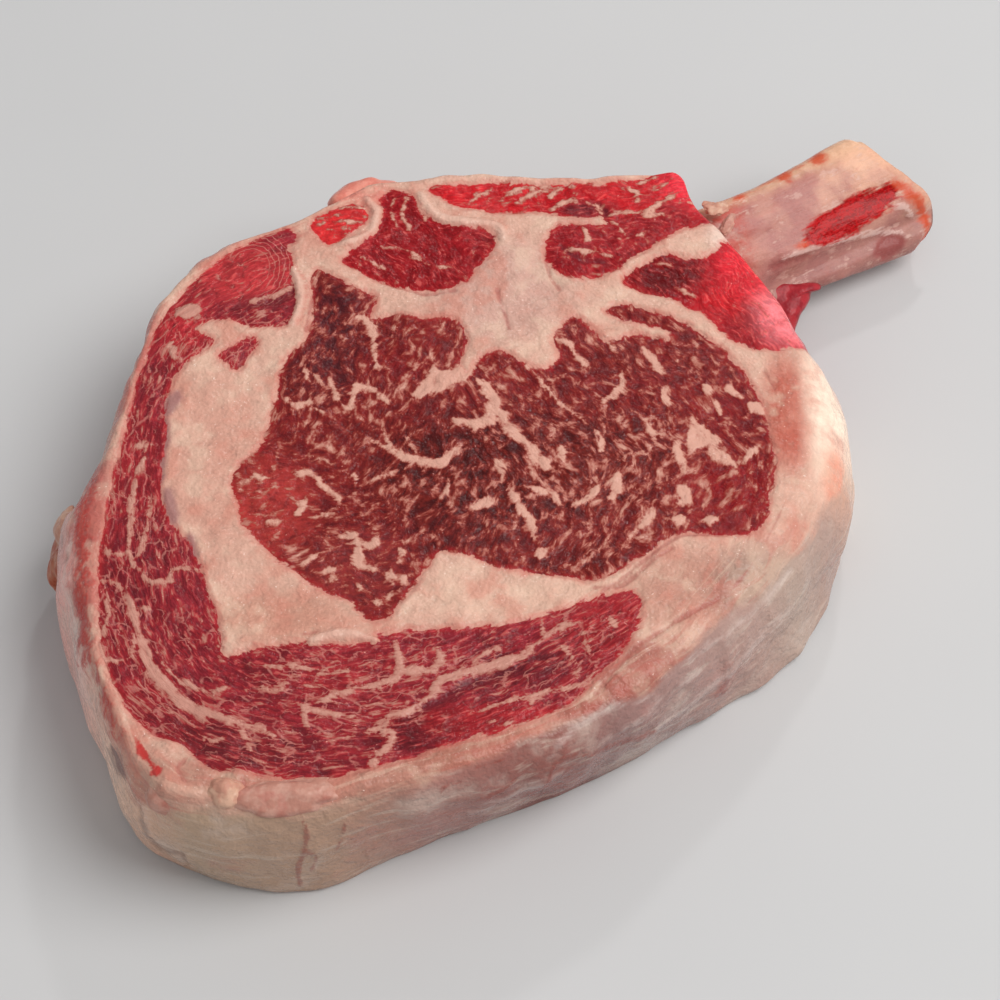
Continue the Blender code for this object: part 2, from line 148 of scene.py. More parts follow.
CORNER = [
    (-43, 64.5), (-37, 69.5), (-32, 70.2), (-30, 66.5), (-32.5, 62.5), (-37, 59), (-39.5, 58)]
STRIP = [
    (-16.5, 75.5), (-11, 71), (-3, 69), (8, 69.2), (18, 67.6), (29, 70), (38, 74), (47, 75),
    (50, 86), (39, 86), (33.5, 80.2), (22, 78.2), (8, 77.8), (-6, 77)]
RIB_SIDE = [
    (14, 65.2), (25, 66), (33, 68.2), (40, 72.8), (52, 73.2), (54, 69), (46, 67), (40, 63.8),
    (34, 59.5), (25, 51.8), (17, 49.8), (11.3, 53.8), (10.3, 59.5)]
SIDE = [
    (28, 49), (33, 54.8), (38, 57.3), (47, 57.5), (56, 64), (73, 60), (80, 44), (72, 34),
    (58, 30.5), (51, 34.2), (44, 41.5), (36, 45.8)]
MUSCLES = [EYE, CAP, UPPER_LEFT, CORNER, STRIP, RIB_SIDE, SIDE]
# The middle line of the long crescent muscle
CRESCENT_MIDDLE = [
    (-46, 56), (-58, 50), (-70, 40), (-76, 25), (-78, 8), (-78, -10), (-76, -28), (-71, -44),
    (-62, -57), (-48, -64), (-30, -65), (-12, -61), (8, -52), (24, -41), (34, -34)]

# Strokes are drawn on the photograph: a width in millimetres and the pixels that it passes
# Broad marbling of the eye muscle
EYE_LINES = [
    (0.7, [(391, 570), (393, 584), (389, 600)]), (0.6, [(404, 577), (399, 592)]),
    (0.6, [(352, 577), (361, 590)]), (0.6, [(372, 598), (381, 604)]),
    (0.6, [(330, 575), (342, 583)]),
    (2.2, [(359, 316), (366, 319), (371, 326), (373, 338)]),
    (1.0, [(373, 338), (375, 352), (377, 367)]),
    (1.3, [(351, 408), (354, 391), (359, 386), (372, 389), (384, 399), (390, 405)]),
    (1.1, [(328, 379), (334, 388), (337, 399), (348, 408)]),
    (1.3, [(288, 399), (296, 405), (307, 402), (313, 408), (322, 411)]),
    (0.9, [(304, 367), (308, 378), (313, 388)]),
    (0.8, [(313, 373), (318, 378), (322, 384)]),
    (1.5, [(372, 439), (381, 444), (393, 452), (404, 458)]),
    (2.7, [(400, 457), (419, 461), (437, 464), (448, 458), (460, 446)]),
    (1.4, [(414, 463), (402, 470), (384, 476), (372, 480)]),
    (1.0, [(384, 429), (387, 438), (391, 447)]),
    (1.0, [(407, 438), (412, 446), (417, 454)]),
    (0.9, [(354, 474), (356, 484), (355, 494)]),
    (1.8, [(294, 473), (310, 473), (322, 485), (337, 496), (340, 502)]),
    (2.0, [(307, 496), (302, 505), (296, 514)]),
    (0.9, [(257, 520), (270, 521), (287, 520)]),
    (0.9, [(313, 517), (325, 514), (337, 514)]),
    (1.0, [(243, 483), (254, 477), (266, 478)]),
    (1.6, [(341, 536), (351, 536), (360, 543), (372, 546), (376, 537)]),
    (2.7, [(360, 543), (357, 558), (363, 567)]),
    (1.4, [(363, 567), (384, 573), (396, 579)]),
    (1.0, [(304, 564), (313, 558), (325, 552)]),
    (1.6, [(327, 571), (334, 569)]),
    (1.1, [(398, 546), (403, 554), (399, 563)]),
    (3.0, [(478, 380), (491, 393), (494, 408), (487, 420), (475, 423), (457, 420)]),
    (2.8, [(499, 410), (508, 426), (520, 438), (533, 451), (538, 466)]),
    (1.0, [(527, 367), (542, 382), (558, 401), (576, 413), (587, 423)]),
    (2.6, [(475, 508), (484, 502), (491, 497)]),
    (2.3, [(496, 460), (502, 470), (503, 478)]),
    (2.2, [(510, 488), (520, 507), (531, 519), (534, 538)]),
    (1.6, [(533, 488), (552, 494), (561, 504)]),
    (1.6, [(576, 504), (592, 494), (598, 485)]),
    (2.1, [(542, 457), (547, 469)]),
    (1.7, [(561, 446), (564, 460)]),
    (2.4, [(617, 474), (616, 487), (613, 498)]),
    (1.7, [(558, 339), (570, 345), (576, 354), (589, 367)]),
    (1.3, [(604, 339), (610, 345), (614, 352)]),
    (2.3, [(643, 346), (654, 360), (663, 374)]),
    (2.0, [(622, 373), (620, 388), (604, 401)]),
    (1.6, [(664, 387), (667, 405)]),
    (1.9, [(704, 385), (713, 395)]),
    (2.0, [(727, 387), (741, 398)]),
    (3.0, [(751, 405), (765, 413)]),
    (1.5, [(716, 400), (720, 414)]),
    (1.3, [(645, 420), (654, 435), (664, 438)]),
    (2.1, [(676, 443), (681, 460), (685, 473)]),
    (3.2, [(680, 487), (684, 496), (682, 502)]),
    (3.0, [(539, 557), (545, 549)]),
    (1.6, [(583, 563), (595, 550)]),
    (1.4, [(629, 538), (648, 519), (651, 507)]),
    (2.4, [(705, 520), (714, 518)]),
    (2.0, [(675, 519), (683, 520)]),
    (1.5, [(744, 462), (752, 452), (760, 446)]),
    (1.3, [(596, 430), (602, 440), (601, 452)]),
    (1.2, [(440, 500), (447, 490), (449, 478)])]
# Seams of the long crescent muscle
CRESCENT_LINES = [
    (1.3, [(543, 620), (540, 640), (510, 660), (473, 670), (443, 680)]),
    (2.6, [(520, 655), (473, 670), (443, 680), (430, 693)]),
    (1.8, [(443, 680), (430, 693), (417, 707), (390, 717), (377, 724)]),
    (1.9, [(396, 640), (400, 667), (390, 683)]),
    (1.4, [(394, 680), (363, 687), (337, 693), (317, 703)]),
    (2.0, [(400, 672), (430, 670), (440, 660), (437, 648)]),
    (1.9, [(190, 707), (210, 713), (233, 723), (257, 727), (275, 738)]),
    (1.0, [(290, 700), (310, 708), (330, 713), (357, 715)]),
    (1.6, [(303, 705), (305, 720), (310, 734)]),
    (2.2, [(380, 729), (393, 733), (387, 747), (377, 757)]),
    (3.0, [(371, 760), (374, 766)]),
    (1.2, [(347, 737), (370, 730), (390, 723)]),
    (1.1, [(480, 711), (510, 701), (543, 693), (573, 687), (602, 679)]),
    (0.8, [(490, 720), (508, 724), (527, 722), (533, 697)]),
    (1.0, [(473, 668), (483, 653), (510, 645)]),
    (1.3, [(523, 658), (537, 643), (560, 627), (583, 622)]),
    (1.0, [(563, 646), (577, 664)]),
    (0.9, [(583, 633), (590, 657)]),
    (3.3, [(611, 624), (616, 622)]),
    (0.8, [(250, 663), (273, 667), (300, 667), (323, 673), (347, 670)]),
    (0.8, [(213, 683), (240, 690), (267, 688), (290, 684), (320, 685)]),
    (1.0, [(237, 723), (247, 740), (254, 758)]),
    (0.8, [(193, 728), (210, 741), (227, 737)]),
    (1.2, [(144, 440), (146, 455), (136, 475), (133, 495), (130, 524), (129, 549)]),
    (1.8, [(138, 445), (149, 446)]),
    (1.2, [(129, 549), (133, 561), (142, 574), (153, 583), (167, 581), (181, 585)]),
    (0.9, [(103, 544), (108, 552), (122, 555), (129, 549)]),
    (0.8, [(150, 497), (146, 527), (142, 547), (136, 558)]),
    (0.8, [(161, 583), (169, 577), (175, 569), (194, 569), (201, 572)]),
    (1.0, [(100, 580), (117, 583), (124, 594), (131, 608), (136, 624), (136, 638), (132, 658)]),
    (2.0, [(127, 598), (134, 618), (138, 637)]),
    (0.9, [(132, 658), (117, 662), (109, 660)]),
    (3.1, [(140, 637), (147, 658), (156, 674), (167, 688), (181, 700), (200, 711), (222, 717)]),
    (0.8, [(136, 608), (153, 609)]),
    (0.9, [(156, 652), (167, 669), (183, 683), (206, 690), (228, 688)]),
    (1.1, [(96, 480), (92, 508), (88, 549), (89, 577), (93, 605), (96, 633), (104, 661),
           (113, 690)]),
    (0.8, [(106, 586), (108, 613), (103, 636)]),
    (1.6, [(172, 343), (173, 357), (178, 363)]),
    (0.8, [(250, 299), (266, 296), (284, 291), (294, 282)]),
    (0.8, [(214, 345), (205, 352), (200, 366)])]
# Thin arcs side by side where the crescent folds at its far end: middle, radii and heading in
# pixels and degrees, how wide a turn they keep to, and how softly they begin, end and turn away
FOLD_MIDDLE, FOLD_RADII, FOLD_HEADING, FOLD_TURN = (250, 268), (16, 47), -40.0, 125.0
FOLD_SOFT = (6.0, 5.0, 30.0)
# Streaks of the other muscles
SMALL_LINES = [
    (0.7, [(394, 199), (391, 212), (397, 224)]), (0.7, [(406, 196), (403, 215), (409, 227)]),
    (0.9, [(419, 200), (425, 218)]), (0.7, [(381, 246), (403, 249), (425, 259)]),
    (0.6, [(409, 256), (431, 265), (450, 268)]), (0.6, [(362, 256), (387, 268)]),
    (0.42, [(313, 213), (334, 208), (352, 207), (371, 209)]),
    (0.34, [(316, 218), (338, 215), (370, 216)]),
    (0.44, [(318, 224), (342, 221), (360, 223), (369, 221)]),
    (0.34, [(322, 229), (344, 228), (362, 229)]),
    (0.40, [(326, 235), (342, 235), (353, 234)]), (0.36, [(326, 206), (347, 202), (363, 204)]),
    (0.9, [(472, 202), (481, 195), (494, 188)]), (1.1, [(500, 199), (512, 192), (525, 187)]),
    (1.0, [(516, 204), (528, 196), (541, 190)]), (1.2, [(531, 188), (547, 185)]),
    (0.9, [(547, 199), (559, 190), (572, 187)]), (0.8, [(569, 203), (578, 193)]),
    (0.9, [(590, 187), (600, 184)]), (1.6, [(622, 188), (636, 193), (637, 203)]),
    (1.2, [(639, 184), (650, 179), (662, 176)]), (0.8, [(655, 192), (666, 184), (671, 178)]),
    (1.1, [(552, 209), (562, 204), (581, 202), (597, 206), (602, 212)]),
    (1.3, [(553, 220), (581, 221), (603, 218)]),
    (1.1, [(603, 218), (625, 213), (647, 212), (662, 202), (676, 196)]),
    (0.9, [(628, 212), (653, 215), (672, 218)]), (1.0, [(575, 224), (584, 228), (587, 240)]),
    (0.7, [(606, 220), (616, 224), (627, 238)]), (0.7, [(569, 249), (594, 252), (612, 257)]),
    (0.6, [(612, 240), (637, 237), (653, 227)]), (0.7, [(647, 262), (669, 265), (688, 274)]),
    (0.8, [(675, 287), (694, 296)])]
# Patches of lean in the fat and of fat in the lean, by their outlines
LEAN_PATCHES = [
    [(219, 354), (228, 348), (236, 344), (244, 338), (254, 337), (258, 343), (252, 352),
     (248, 359), (242, 366), (236, 369), (226, 362)],
    [(148, 356), (158, 328), (176, 300), (204, 271), (240, 248), (286, 229), (293, 240),
     (240, 263), (206, 286), (182, 312), (166, 348)],
    [(596, 202), (612, 194), (640, 190), (652, 200), (672, 194), (694, 208), (688, 218),
     (660, 219), (640, 224), (610, 226)]]
FAT_PATCHES = [
    [(413, 394), (419, 385), (428, 376), (435, 367), (440, 370), (454, 367), (463, 361),
     (472, 357), (472, 376), (460, 382), (448, 388), (431, 394), (420, 398)],
    [(691, 413), (698, 423), (710, 429), (721, 438), (720, 448), (729, 454), (735, 465),
     (726, 461), (713, 457), (707, 445), (698, 448), (688, 454), (687, 438), (689, 423)],
    [(177, 307), (190, 303), (203, 309), (200, 318), (186, 322), (176, 318)]]
# Raised lips of fat, sunken folds in the lean, and thin sunken creases in the fat; the folds' dark
# tone is painted shade, and the creases' darker pink is partly their own tone and partly painted
# shade
LIPS = [
    (2.4, [(420, 195), (430, 209), (441, 218), (462, 223), (487, 224), (500, 229), (504, 240)]),
    (1.8, [(312, 642), (330, 637), (350, 635), (376, 641)]),
    (2.0, [(367, 199), (377, 212), (373, 227), (359, 240), (341, 245)]),
    (1.6, [(293, 268), (300, 285), (300, 305), (292, 325)])]
FOLDS = [
    (2.3, [(234, 307), (248, 303), (266, 300), (284, 296), (295, 286)]),
    (2.0, [(187, 759), (200, 766), (219, 770)]),
    (1.2, [(318, 767), (322, 771), (328, 772)]),
    (2.2, [(410, 716), (440, 700), (475, 682), (520, 668)]),
    (1.6, [(563, 246), (580, 258), (606, 262)]),
    (1.4, [(598, 204), (607, 216)])]
CREASES = [
    (0.5, [(497, 290), (500, 302), (507, 318), (509, 328)]),
    (0.4, [(545, 252), (550, 275), (560, 290)]),
    (0.6, [(317, 275), (316, 290), (309, 312), (306, 330)]),
    (0.5, [(345, 262), (380, 280), (425, 294), (455, 292)]),
    (0.6, [(302, 636), (318, 632)]),
    (0.7, [(594, 587), (613, 585), (635, 567), (668, 543), (685, 535), (732, 535)]),
    (0.5, [(603, 590), (625, 583), (650, 562), (672, 548)]),
    (0.7, [(762, 558), (724, 594), (674, 623), (636, 649), (618, 667), (595, 694)]),
    (0.5, [(786, 470), (780, 510), (762, 545)]),
    (0.4, [(763, 370), (770, 380), (775, 391)]),
    (0.6, [(140, 800), (150, 835), (165, 852), (182, 857), (190, 876)]),
    (0.5, [(187, 759), (178, 770), (186, 784)]),
    (0.6, [(243, 780), (247, 795), (244, 810)]),
    (0.5, [(60, 520), (66, 545), (70, 575)])]
VEINS = [
    (0.8, [(300, 812), (307, 835), (303, 852), (298, 870), (301, 887)]),
    (0.6, [(306, 850), (316, 856), (312, 872)]),
    (0.7, [(345, 826), (343, 838), (337, 850)]),
    (0.8, [(553, 764), (565, 755), (595, 752), (633, 740), (653, 729)]),
    (0.9, [(533, 796), (545, 779), (556, 761), (577, 755)]),
    (0.6, [(468, 773), (483, 764), (506, 760)]),
    (0.6, [(440, 790), (452, 782), (470, 784)]),
    (2.0, [(587, 709), (600, 700), (612, 694)]),
    (1.4, [(715, 696), (722, 686), (727, 678)]),
    (0.7, [(470, 800), (500, 790), (520, 776)]),
    (0.5, [(785, 377), (787, 388), (786, 399)])]
# Pale raised folds of the side's skin: partly pale membrane, partly painted highlight
PALE_MARKS = [
    (1.7, [(71, 572), (71, 599), (79, 636), (83, 669), (89, 697), (103, 713), (119, 744)]),
    (1.5, [(78, 514), (70, 521), (66, 535), (69, 552)]),
    (0.9, [(119, 744), (130, 770), (142, 800), (150, 835)]),
    (0.7, [(545, 760), (575, 728), (610, 710), (655, 696)]),
    (1.0, [(640, 740), (690, 705), (740, 660), (790, 605)]),
    (0.8, [(600, 745), (650, 712), (700, 672)]),
    (0.9, [(470, 812), (520, 790), (560, 770)]),
    (0.9, [(690, 660), (740, 622), (790, 570)])]
# Thin fat that the lean shows through, a bruise on the side, and blood
THIN_FAT = [
    (3.2, [(178, 392), (172, 402), (168, 413)]), (3.0, [(166, 424), (160, 450), (158, 482)]),
    (2.6, [(168, 492), (174, 522)]), (2.2, [(189, 536), (194, 558)]),
    (1.8, [(205, 600), (212, 625), (214, 650)])]
BRUISES = [(3.4, [(114, 748), (121, 760), (128, 775)]), (1.6, [(92, 560), (90, 572)])]
BLOOD = [
    (2.2, [(157, 771), (158, 775)]), (1.3, [(136, 740), (141, 750), (148, 761), (155, 769)])]
FLUSHES = [
    (2.2, [(92, 480), (84, 510), (81, 550), (82, 600), (85, 635), (91, 668)]),
    (1.0, [(91, 668), (101, 692), (110, 715), (121, 738)])]
# Where the cut fat ends and the silvery skin of the side begins
SKIN_LINE = [
    (78, 470), (72, 520), (70, 572), (75, 610), (83, 655), (91, 690), (106, 722), (122, 758),
    (139, 799), (177, 808), (220, 811), (253, 816), (293, 815), (340, 811), (362, 804), (407, 790),
    (440, 777), (500, 752), (560, 722), (618, 703), (654, 692), (689, 649), (698, 632), (727, 614),
    (762, 588), (792, 558), (812, 538), (824, 515), (840, 480), (850, 440)]

# Which way the grain runs at some places, in degrees, and the three headings it's blended from
GRAIN_HEADINGS = [
    (-48, -12, -12), (-38, -20, -8), (-30, -32, 35), (-40, 20, 78), (-36, 38, 74), (-20, 4, 70),
    (-20, 26, 60), (-30, 0, 40), (0, 10, -50), (-10, -14, 55), (12, 0, -60), (12, -22, 68),
    (30, 16, -56), (46, 10, -52), (32, -12, 72), (48, -12, 64), (50, 22, -58), (16, 30, -50),
    (34, 32, -48), (-18, 58, -32),
    (-37, 65, -12), (0, 73, 30), (20, 75, 34), (40, 79, 30), (22, 60, -24), (40, 68, -10),
    (40, 50, -40), (58, 48, -46), (70, 44, -50)]
GRAIN_TURNS = (68.0, -54.0, 8.0)

# Tones of the tissues, as the photograph shows them (0 to 255), and how densely seams cross each
EYE_TONE = (116, 28, 32)
MUSCLE_TONES = [EYE_TONE, (136, 36, 46), (142, 18, 26), (206, 44, 46), (196, 26, 34),
                (150, 24, 32), (158, 26, 34)]
WEB = [0.0, 1.3, 0.5, 1.4, 1.0, 0.8, 0.1]
# Places with a tone of their own, a few of them painted highlight: middle, half sizes, tone and
# how strongly
LEAN_SPOTS = [
    ((-6, -5), (24, 15), (76, 20, 20), 0.95), ((20, -4), (20, 14), (86, 24, 24), 0.85),
    ((12, -27), (16, 5), (84, 22, 22), 0.8), ((-22, 30), (10, 8), (114, 20, 26), 0.7),
    ((-37, 34), (7, 13), (78, 26, 32), 0.9), ((-40, 20), (8, 7), (82, 28, 34), 0.7),
    ((-6, -22), (13, 7), (84, 30, 32), 0.7), ((-49, -14), (9, 12), (178, 58, 56), 0.9),
    ((-30, -30), (11, 9), (134, 48, 50), 0.8), ((50, -10), (12, 9), (140, 24, 32), 0.9),
    ((50, 14), (9, 14), (122, 26, 32), 0.7), ((-18, 31), (11, 7), (122, 28, 32), 0.7),
    ((5, -26), (12, 5), (112, 32, 34), 0.6), ((36, 26), (14, 7), (118, 30, 32), 0.6),
    ((-58, 50), (12, 8), (196, 58, 62), 0.9), ((-70, 34), (6, 9), (184, 44, 52), 0.8),
    ((-78, -6), (6, 14), (150, 38, 46), 0.6), ((-77, -34), (7, 15), (116, 28, 38), 0.8),
    ((-86, -24), (3.5, 22), (160, 48, 52), 0.9), ((22, -44), (10, 8), (152, 36, 42), 0.9),
    ((-2, -67), (24, 4), (158, 34, 40), 0.8), ((-54, -72), (14, 6), (104, 34, 40), 0.7),
    ((-30, -56), (14, 5), (146, 38, 44), 0.6), ((-20, -70), (9, 4), (92, 22, 30), 0.8),
    ((6, -54), (12, 4), (96, 26, 34), 0.7),
    # The brighter right-hand parts of the strip, rib-side and side muscles: partly their own red,
    # partly painted highlight, strongest at (66, 40)
    ((46, 77), (9, 7), (236, 52, 68), 0.95), ((50, 70), (7, 4), (222, 46, 56), 0.9),
    ((50, 44), (7, 7), (206, 32, 40), 0.7),
    ((66, 40), (9, 12), (255, 132, 138), 0.95), ((56, 52), (9, 8), (232, 48, 60), 0.9),
    ((37, 50), (10, 7), (106, 6, 12), 0.95), ((20, 68), (7, 3), (96, 26, 34), 0.9)]
FAT_TONE = (212, 166, 147)
FAT_SPOTS = [
    ((-62, -5), (9, 30), (207, 152, 134), 0.7), ((0, 45), (16, 14), (200, 156, 142), 0.9),
    ((5, -37), (30, 5), (217, 176, 155), 0.8), ((-46, -42), (14, 6), (198, 140, 120), 0.8),
    ((42, -36), (14, 9), (188, 134, 117), 0.9), ((62.5, 10), (5, 15), (184, 92, 76), 0.95),
    # The cream spot at (72, 12) on the right shoulder: partly the fat's own cream, partly painted
    # highlight
    ((72, 12), (5.5, 24), (255, 230, 208), 0.95), ((-30, -80), (46, 7), (176, 120, 104), 0.9),
    ((0, -73), (34, 5), (168, 106, 90), 0.9), ((30, -54), (14, 7), (166, 102, 90), 0.9),
    ((20, -62), (14, 6), (160, 92, 80), 0.95), ((72, -8), (3, 9), (226, 132, 104), 0.8),
    ((54, -34), (10, 9), (164, 135, 121), 0.85),
    ((-76, -66), (6, 20), (200, 134, 118), 0.8), ((-88, -24), (5, 46), (176, 84, 80), 0.9),
    ((-80, 25), (5, 24), (190, 96, 90), 0.8), ((-66, 56), (14, 5), (206, 130, 118), 0.7),
    ((54, 60), (6, 6), (240, 212, 198), 0.9), ((20, 80), (30, 3), (222, 170, 150), 0.7),
    ((-32, 73), (8, 4), (214, 120, 106), 0.7)]
# The side's tone by compass angle round the core; the pale right edge (8 and 20) is partly painted
# highlight, and the darker front (about 251 to 296) partly painted shade
WALL_TONES = [
    (8, (255, 222, 198)), (20, (246, 208, 190)), (60, (204, 132, 122)), (90, (214, 168, 150)),
    (130, (208, 150, 134)), (160, (200, 140, 128)), (180, (214, 156, 148)), (196, (242, 176, 166)),
    (208, (255, 196, 184)), (222, (255, 214, 190)), (230, (228, 184, 158)), (236, (192, 162, 138)),
    (251, (184, 148, 126)), (263, (172, 122, 112)), (275, (154, 100, 92)), (285, (148, 92, 84)),
    (296, (156, 118, 112)), (312, (170, 135, 127)), (329, (184, 149, 138)), (340, (186, 160, 146)),
    (352, (184, 152, 140)), (360, (212, 164, 142))]

# The rib's marks, drawn on the photograph too; the hollows are darkened as painted shade and the
# ledges lightened as painted highlight
RIB_STRIPE = [
    (804, 241), (812, 228), (823, 216), (840, 205), (857, 196), (879, 187), (890, 185), (897, 192),
    (890, 203), (879, 212), (868, 220), (857, 228), (840, 235), (820, 242)]
RIB_HOLLOW = [(5.6, [(884, 252), (894, 247), (903, 240)]),
              (1.8, [(770, 268), (790, 262), (812, 256)])]
RIB_LEDGE = [
    (0.9, [(782, 259), (809, 248), (845, 239), (884, 231), (907, 232)]),
    (1.2, [(890, 205), (905, 208), (915, 216)])]
RIB_RUST = [
    (2.6, [(893, 182), (905, 190), (915, 199), (924, 209), (931, 222), (931, 240), (926, 256)]),
    (2.8, [(821, 160), (826, 156), (831, 152)]), (2.6, [(788, 177), (796, 170)]),
    (2.0, [(743, 198), (751, 195)]), (1.2, [(797, 246), (806, 243)]),
    (0.8, [(838, 143), (812, 158), (790, 172), (760, 186), (730, 199)])]

# Mounds of the cut face and the rim: pixel, half width and rise in millimetres
MOUNDS = [(172, 758, 7.0, 1.1), (190, 778, 7.0, 0.9), (238, 774, 4.0, 1.3), (165, 792, 5.0, 0.8)]
# Looks of the lumps and scraps: name, light and dark tone, and how strong their red flecks are
LOOKS = {
    "pale": ("pale_fat", (214, 170, 146), (198, 142, 122), 0.0),
    "pink": ("pink_fat", (202, 152, 136), (188, 132, 116), 0.25),
    "rosy": ("rosy_fat", (232, 152, 134), (220, 128, 112), 0.0),
    "amber": ("amber_flap", (190, 128, 104), (176, 92, 66), 0.3),
    "dark": ("dark_scrap", (176, 50, 58), (150, 34, 44), 0.0)}
# Lumps and scraps: name, look, pixel, height, half sizes, turn and unevenness; those with
# no height lie on the rib's face
SCRAPS = [
    ("corner_lump", "pink", 172, 793, 31.4, (5.4, 4.0, 4.4), 20, 0.08),
    ("front_lump", "pale", 226, 794, 34.3, (4.2, 3.3, 3.6), -10, 0.16),
    ("front_lump_side", "pale", 216, 798, 33.2, (2.8, 2.6, 3.6), 0, 0.1),
    ("front_roll", "pink", 286, 797, 33.6, (11.0, 4.0, 3.4), 4, 0.15),
    ("front_roll_end", "pale", 352, 785, 33.6, (12.0, 2.8, 2.0), 14, 0.08),
    ("side_flap", "amber", 66, 556, 11.5, (3.4, 7.5, 7.0), -4, 0.26),
    ("side_flap_top", "pale", 72, 530, 16.5, (3.3, 5.6, 4.6), 0, 0.2),
    ("far_bump", "rosy", 365, 199, 31.4, (8.4, 5.0, 4.0), 20, 0.12),
    ("root_scrap_1", "pale", 714, 208, None, (2.8, 2.2, 0.9), 0, 0.3),
    ("root_scrap_2", "pink", 727, 226, None, (1.5, 4.2, 0.7), -24, 0.3),
    ("foot_scrap_1", "pale", 262, 880, 1.0, (5.0, 1.5, 0.9), 6, 0.3),
    ("foot_scrap_2", "pale", 234, 873, 0.9, (3.2, 1.2, 0.8), -8, 0.3),
    ("foot_scrap_3", "pale", 190, 860, 1.2, (4.4, 1.5, 1.1), -30, 0.3)]
# The dark flap that hangs under the rib: its outline, and the height of its foot and its thickness
RIB_FLAP = [
    (722, 262), (775, 280), (798, 283), (818, 281), (821, 287), (813, 292), (811, 301), (806, 309),
    (800, 316), (796, 327), (790, 340), (762, 352), (730, 334), (714, 292)]
FLAP_FOOT, FLAP_THICK = 1.8, 5.5

# Light: name, place in metres, size, power and tone
LIGHTS = [
    ("key", (1.02, -0.10, 1.52), 1.40, 27.4, (1.0, 0.985, 0.97)),
    ("fill", (-0.55, -1.10, 1.30), 1.50, 2.4, (0.98, 0.985, 1.0)),
    ("back", (0.30, 1.30, 1.12), 0.12, 3.0, (1.0, 1.0, 1.0))]
ROOM_LIGHT = 0.37
FLOOR_SHADE = 0.58
# The floor, in metres: half its side, the radius of its bend and how high it rises behind
FLOOR_HALF, FLOOR_BEND, FLOOR_RISE = 6.0, 0.6, 2.2


def smooth_step(value):
    share = np.clip(value, 0.0, 1.0)
    return share * share * (3.0 - 2.0 * share)


def placed(points):
    """Places in the outlines' millimetres, as metres in the part's frame."""
    return (np.asarray(points) - (MIDDLE[0], MIDDLE[1], 0.0)) * MM


def camera_place():
    rise = math.radians(CAMERA_RISE)
    return np.array([0.0, -math.cos(rise), math.sin(rise)]) * CAMERA_AWAY + (0, 0, TARGET_HEIGHT)


def sight(x, y):
    """The line of sight through a pixel of the photograph."""
    rise = math.radians(CAMERA_RISE)
    size = SENSOR / LENS / PHOTO_SIDE
    right, up = (x - PHOTO_SIDE / 2) * size, (PHOTO_SIDE / 2 - y) * size
    ahead = np.array([right, math.cos(rise), -math.sin(rise)])
    return ahead + up * np.array([0.0, math.sin(rise), math.cos(rise)])


def spot(x, y, height=THICKNESS):
    """A place in the photograph, laid on a height in millimetres."""
    ray = sight(x, y)
    return (camera_place() + ray * (height - camera_place()[2]) / ray[2])[:2]


def rib_axes():
    """The rib's directions along, across its breadth and out of its face."""
    heading, slant = math.radians(RIB_HEADING), math.radians(RIB_SLANT)
    ahead = np.array([math.cos(heading), math.sin(heading), 0.0])
    aside = np.array([-math.sin(heading), math.cos(heading), 0.0])
    up = np.array([0.0, 0.0, 1.0])
    broad = -aside * math.cos(slant) - up * math.sin(slant)
    face = -aside * math.sin(slant) + up * math.cos(slant)
    return ahead, aside, broad, face


def rib_spot(x, y):
    """A place in the photograph, laid on the rib's face: how far along and across."""
    ahead, _, broad, face = rib_axes()
    start, ray = camera_place() - np.array(RIB_ROOT), sight(x, y)
    place = start + ray * (0.5 * RIB_DEPTH - start @ face) / (ray @ face)
    return np.array([place @ ahead, place @ broad])


def traced(strokes, lay=spot):
    """Strokes drawn on the photograph, laid on the part."""
    return [(width, [tuple(lay(x, y)) for x, y in line]) for width, line in strokes]


def outlined(outlines, lay=spot):
    return [[tuple(lay(x, y)) for x, y in outline] for outline in outlines]


def linear(tone):
    """A tone of 0 to 255 as the linear colour that shaders take."""
    share = np.asarray(tone, float) / 255.0
    return np.where(share <= 0.04045, share / 12.92, ((share + 0.055) / 1.055) ** 2.4)


def closed_curve(points, steps):
    """Points along the closed Catmull-Rom curve through the given ones."""
    pts = np.array(points, float)
    before, after, beyond = np.roll(pts, 1, 0), np.roll(pts, -1, 0), np.roll(pts, -2, 0)
    curve = []
    for step in range(steps):
        t = step / steps
        curve.append(0.5 * (2 * pts + (after - before) * t
                            + (2 * before - 5 * pts + 4 * after - beyond) * t ** 2
                            + (3 * pts - before - 3 * after + beyond) * t ** 3))
    return np.stack(curve, 1).reshape(-1, 2)


def open_curve(points, steps=5):
    """The open Catmull-Rom curve through the given points."""
    pts = np.array(points, float)
    full = np.vstack([2 * pts[0] - pts[1], pts, 2 * pts[-1] - pts[-2]])
    curve = []
    for a, b, c, d in zip(full, full[1:], full[2:], full[3:]):
        for t in np.arange(steps) / steps:
            curve.append(0.5 * (2 * b + (c - a) * t + (2 * a - 5 * b + 4 * c - d) * t ** 2
                                + (3 * b - a - 3 * c + d) * t ** 3))
    return np.array(curve + [pts[-1]])


def even_loop(points, count):
    dense = closed_curve(points, 12)
    ring = np.vstack([dense, dense[:1]])
    length = np.concatenate([[0], np.cumsum(np.hypot(*np.diff(ring, axis=0).T))])
    at = np.arange(count) * length[-1] / count
    return np.stack([np.interp(at, length, ring[:, 0]), np.interp(at, length, ring[:, 1])], 1)


def grown(loop, distance):
    along = np.roll(loop, -1, 0) - np.roll(loop, 1, 0)
    along /= np.hypot(*along.T)[:, None]
    x, y = loop.T
    area = np.sum(x * np.roll(y, -1) - np.roll(x, -1) * y)
    outward = np.stack([along[:, 1], -along[:, 0]], 1) * math.copysign(1.0, area)
    return loop + outward * distance


